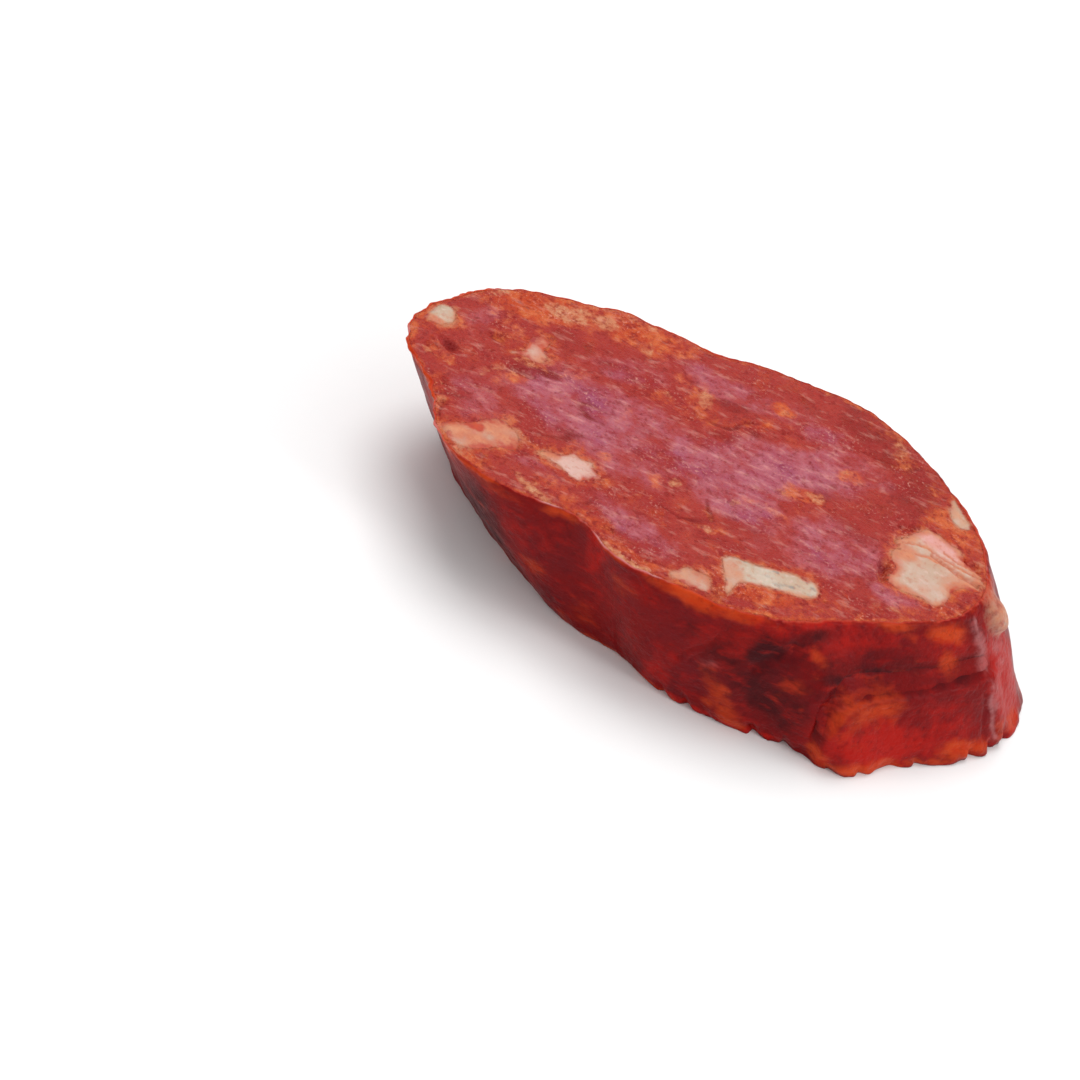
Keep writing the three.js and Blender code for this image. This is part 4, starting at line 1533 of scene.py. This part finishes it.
class SausageSizes(bpy.types.PropertyGroup):
    casing_thickness: length_setting("Casing Thickness", 0.34, "How thick the dried casing is")
    fat_rise: length_setting("Fat Rise", 0.07, "How far the fat stands above the meat round it")
    cut_relief: FloatProperty(name="Cut Relief", default=1.0, min=0, max=3, subtype="FACTOR",
                              description="How rough the cut faces are")
    wall_relief: FloatProperty(name="Wall Relief", default=1.0, min=0, max=2, subtype="FACTOR",
                               description="How wrinkled the wall is")


class SausageColours(bpy.types.PropertyGroup):
    paste: colour_setting("Paste", "#AE3A30", "Chopped meat bound with paprika")
    dry_paste: colour_setting("Dry Paste", "#9E2422", "The redder paste between")
    muscle: colour_setting("Muscle", "#A84658", "Whole pieces of lean")
    light_muscle: colour_setting("Light Muscle", "#C4747E", "Fibres of the lean")
    purple_muscle: colour_setting("Purple Muscle", "#9C4464", "Where the lean is thickest")
    # Deep red is also the colour of the painted shade in the cut's hollows.
    deep: colour_setting("Deep Red", "#821210", "Hollows and dry places")
    oil: colour_setting("Oil", "#C4481E", "Paste soaked with paprika oil")
    bright_oil: colour_setting("Bright Oil", "#D87040", "Paste with the most oil")
    smear: colour_setting("Smear", "#D6946E", "Thin smears of fat")
    # Speck is also the colour of the painted glints on the cut.
    speck: colour_setting("Speck", "#E4A090", "Fat cells and fibre ends")
    fat: colour_setting("Fat", "#C6B6A6", "Clean back fat")
    clean_fat: colour_setting("Clean Fat", "#DFD6C8", "Grains of fat with no stain")
    fat_shade: colour_setting("Fat Shade", "#B89A80", "Duller back fat")
    rosy_fat: colour_setting("Rosy Fat", "#D89A94", "Fat with lean behind it")
    stained_fat: colour_setting("Stained Fat", "#B8583A", "Fat stained with oil")
    fat_speck: colour_setting("Fat Speck", "#86827C", "Grey grains in the fat")
    # The casing colours are partly the skin's own dark red and partly painted shade: they are set darker so
    # that the wall stays darker than the cut although the white floor lights it.
    casing: colour_setting("Casing", "#7E0A08", "The dried skin")
    casing_plum: colour_setting("Casing Plum", "#6E1016", "Skin over lean meat")
    casing_bright: colour_setting("Casing Bright", "#AC160E", "Skin over oily paste")
    # Casing dark is also the colour of the painted shade on the wall.
    casing_dark_and_shade: colour_setting("Casing Dark", "#40060C", "Skin over dark meat")
    casing_oil: colour_setting("Casing Oil", "#C43408", "Skin over stained fat")
    # Casing pale is the colour of the painted sheen on the wall, and of its pale crumbs, fibres and smears.
    casing_pale_and_sheen: colour_setting("Casing Pale", "#CE8C8C", "Skin dried clear of the meat")
    floor: colour_setting("Floor", "#F6F6F6", "The paper")
    floor_shade: colour_setting("Floor Shade", "#EEEEEE", "Fibres of the paper")


class SausageStage(bpy.types.PropertyGroup):
    floor_size: FloatProperty(name="Floor Size", default=6.0, min=0.5, subtype="DISTANCE", unit="LENGTH",
                              description="The side of the square floor")
    room_strength: FloatProperty(name="Room Strength", default=0.68, min=0,
                                 description="The even white light of the room")
    overhead_power: FloatProperty(name="Overhead Power", default=1.7, min=0, subtype="POWER",
                                  unit="POWER", description="The soft box above and behind")
    side_power: FloatProperty(name="Side Power", default=0.45, min=0, subtype="POWER",
                              unit="POWER", description="The small soft box at the right")
    view_elevation: FloatProperty(name="View Elevation", default=math.radians(42), subtype="ANGLE",
                                  unit="ROTATION", description="How far the camera looks down")
    view_roll: FloatProperty(name="View Roll", default=math.radians(24), subtype="ANGLE",
                             unit="ROTATION", description="How far the camera is turned about its axis")
    view_distance: FloatProperty(name="View Distance", default=0.2712, min=0.05, subtype="DISTANCE",
                                 unit="LENGTH", description="From the camera to what it is aimed at")
    view_aim: FloatVectorProperty(name="View Aim", default=(-0.01065, -0.01984, 0.0), size=3,
                                  subtype="XYZ", unit="LENGTH",
                                  description="What the camera is aimed at, from the upper cut's middle")


class SAUSAGE_OT_meat(bpy.types.Operator):
    """Make the cured meat, with a pocket for each lump of fat"""
    bl_idname = "sausage.meat"
    bl_label = "Cured Meat"

    def execute(self, context):
        make_meat(context.scene.sausage_sizes, context.scene.sausage_colours)
        return {"FINISHED"}


class SAUSAGE_OT_casing(bpy.types.Operator):
    """Make the casing round the wall"""
    bl_idname = "sausage.casing"
    bl_label = "Casing"

    def execute(self, context):
        make_casing(context.scene.sausage_sizes, context.scene.sausage_colours)
        return {"FINISHED"}


class SAUSAGE_OT_fat(bpy.types.Operator):
    """Make the lumps of fat in their pockets"""
    bl_idname = "sausage.fat"
    bl_label = "Lumps of Fat"

    def execute(self, context):
        material = fat_material(context.scene.sausage_colours)
        for name in FAT_OUTLINES:
            make_lump(name, context.scene.sausage_sizes, material)
        return {"FINISHED"}


class SAUSAGE_OT_stage(bpy.types.Operator):
    """Make the floor, the lights and the camera"""
    bl_idname = "sausage.stage"
    bl_label = "Stage"

    def execute(self, context):
        stage = context.scene.sausage_stage
        context.scene.view_settings.view_transform = "Standard"
        make_floor(stage, context.scene.sausage_colours)
        make_lights(stage)
        make_camera(stage)
        return {"FINISHED"}


OPERATORS = (SAUSAGE_OT_meat, SAUSAGE_OT_casing, SAUSAGE_OT_fat, SAUSAGE_OT_stage)


class SAUSAGE_PT_slice(bpy.types.Panel):
    """The pieces of the slice and their settings"""
    bl_label = "Cured Sausage Slice"
    bl_idname = "SAUSAGE_PT_slice"
    bl_space_type = "VIEW_3D"
    bl_region_type = "UI"
    bl_category = "Sausage"

    def draw(self, context):
        for operator in OPERATORS:
            self.layout.operator(operator.bl_idname)
        scene = context.scene
        for group in (scene.sausage_sizes, scene.sausage_colours, scene.sausage_stage):
            box = self.layout.box()
            for setting in group.__annotations__:
                box.prop(group, setting)


CLASSES = (SausageSizes, SausageColours, SausageStage, *OPERATORS, SAUSAGE_PT_slice)


def register():
    """Adds the settings, the operators and the panel."""
    for item in CLASSES:
        bpy.utils.register_class(item)
    bpy.types.Scene.sausage_sizes = PointerProperty(type=SausageSizes)
    bpy.types.Scene.sausage_colours = PointerProperty(type=SausageColours)
    bpy.types.Scene.sausage_stage = PointerProperty(type=SausageStage)


def unregister():
    """Takes them away again."""
    del bpy.types.Scene.sausage_sizes
    del bpy.types.Scene.sausage_colours
    del bpy.types.Scene.sausage_stage
    for item in reversed(CLASSES):
        bpy.utils.unregister_class(item)


def main():
    """Makes the whole scene."""
    register()
    bpy.ops.sausage.stage()
    bpy.ops.sausage.meat()
    bpy.ops.sausage.casing()
    bpy.ops.sausage.fat()


if __name__ == "__main__":
    main()
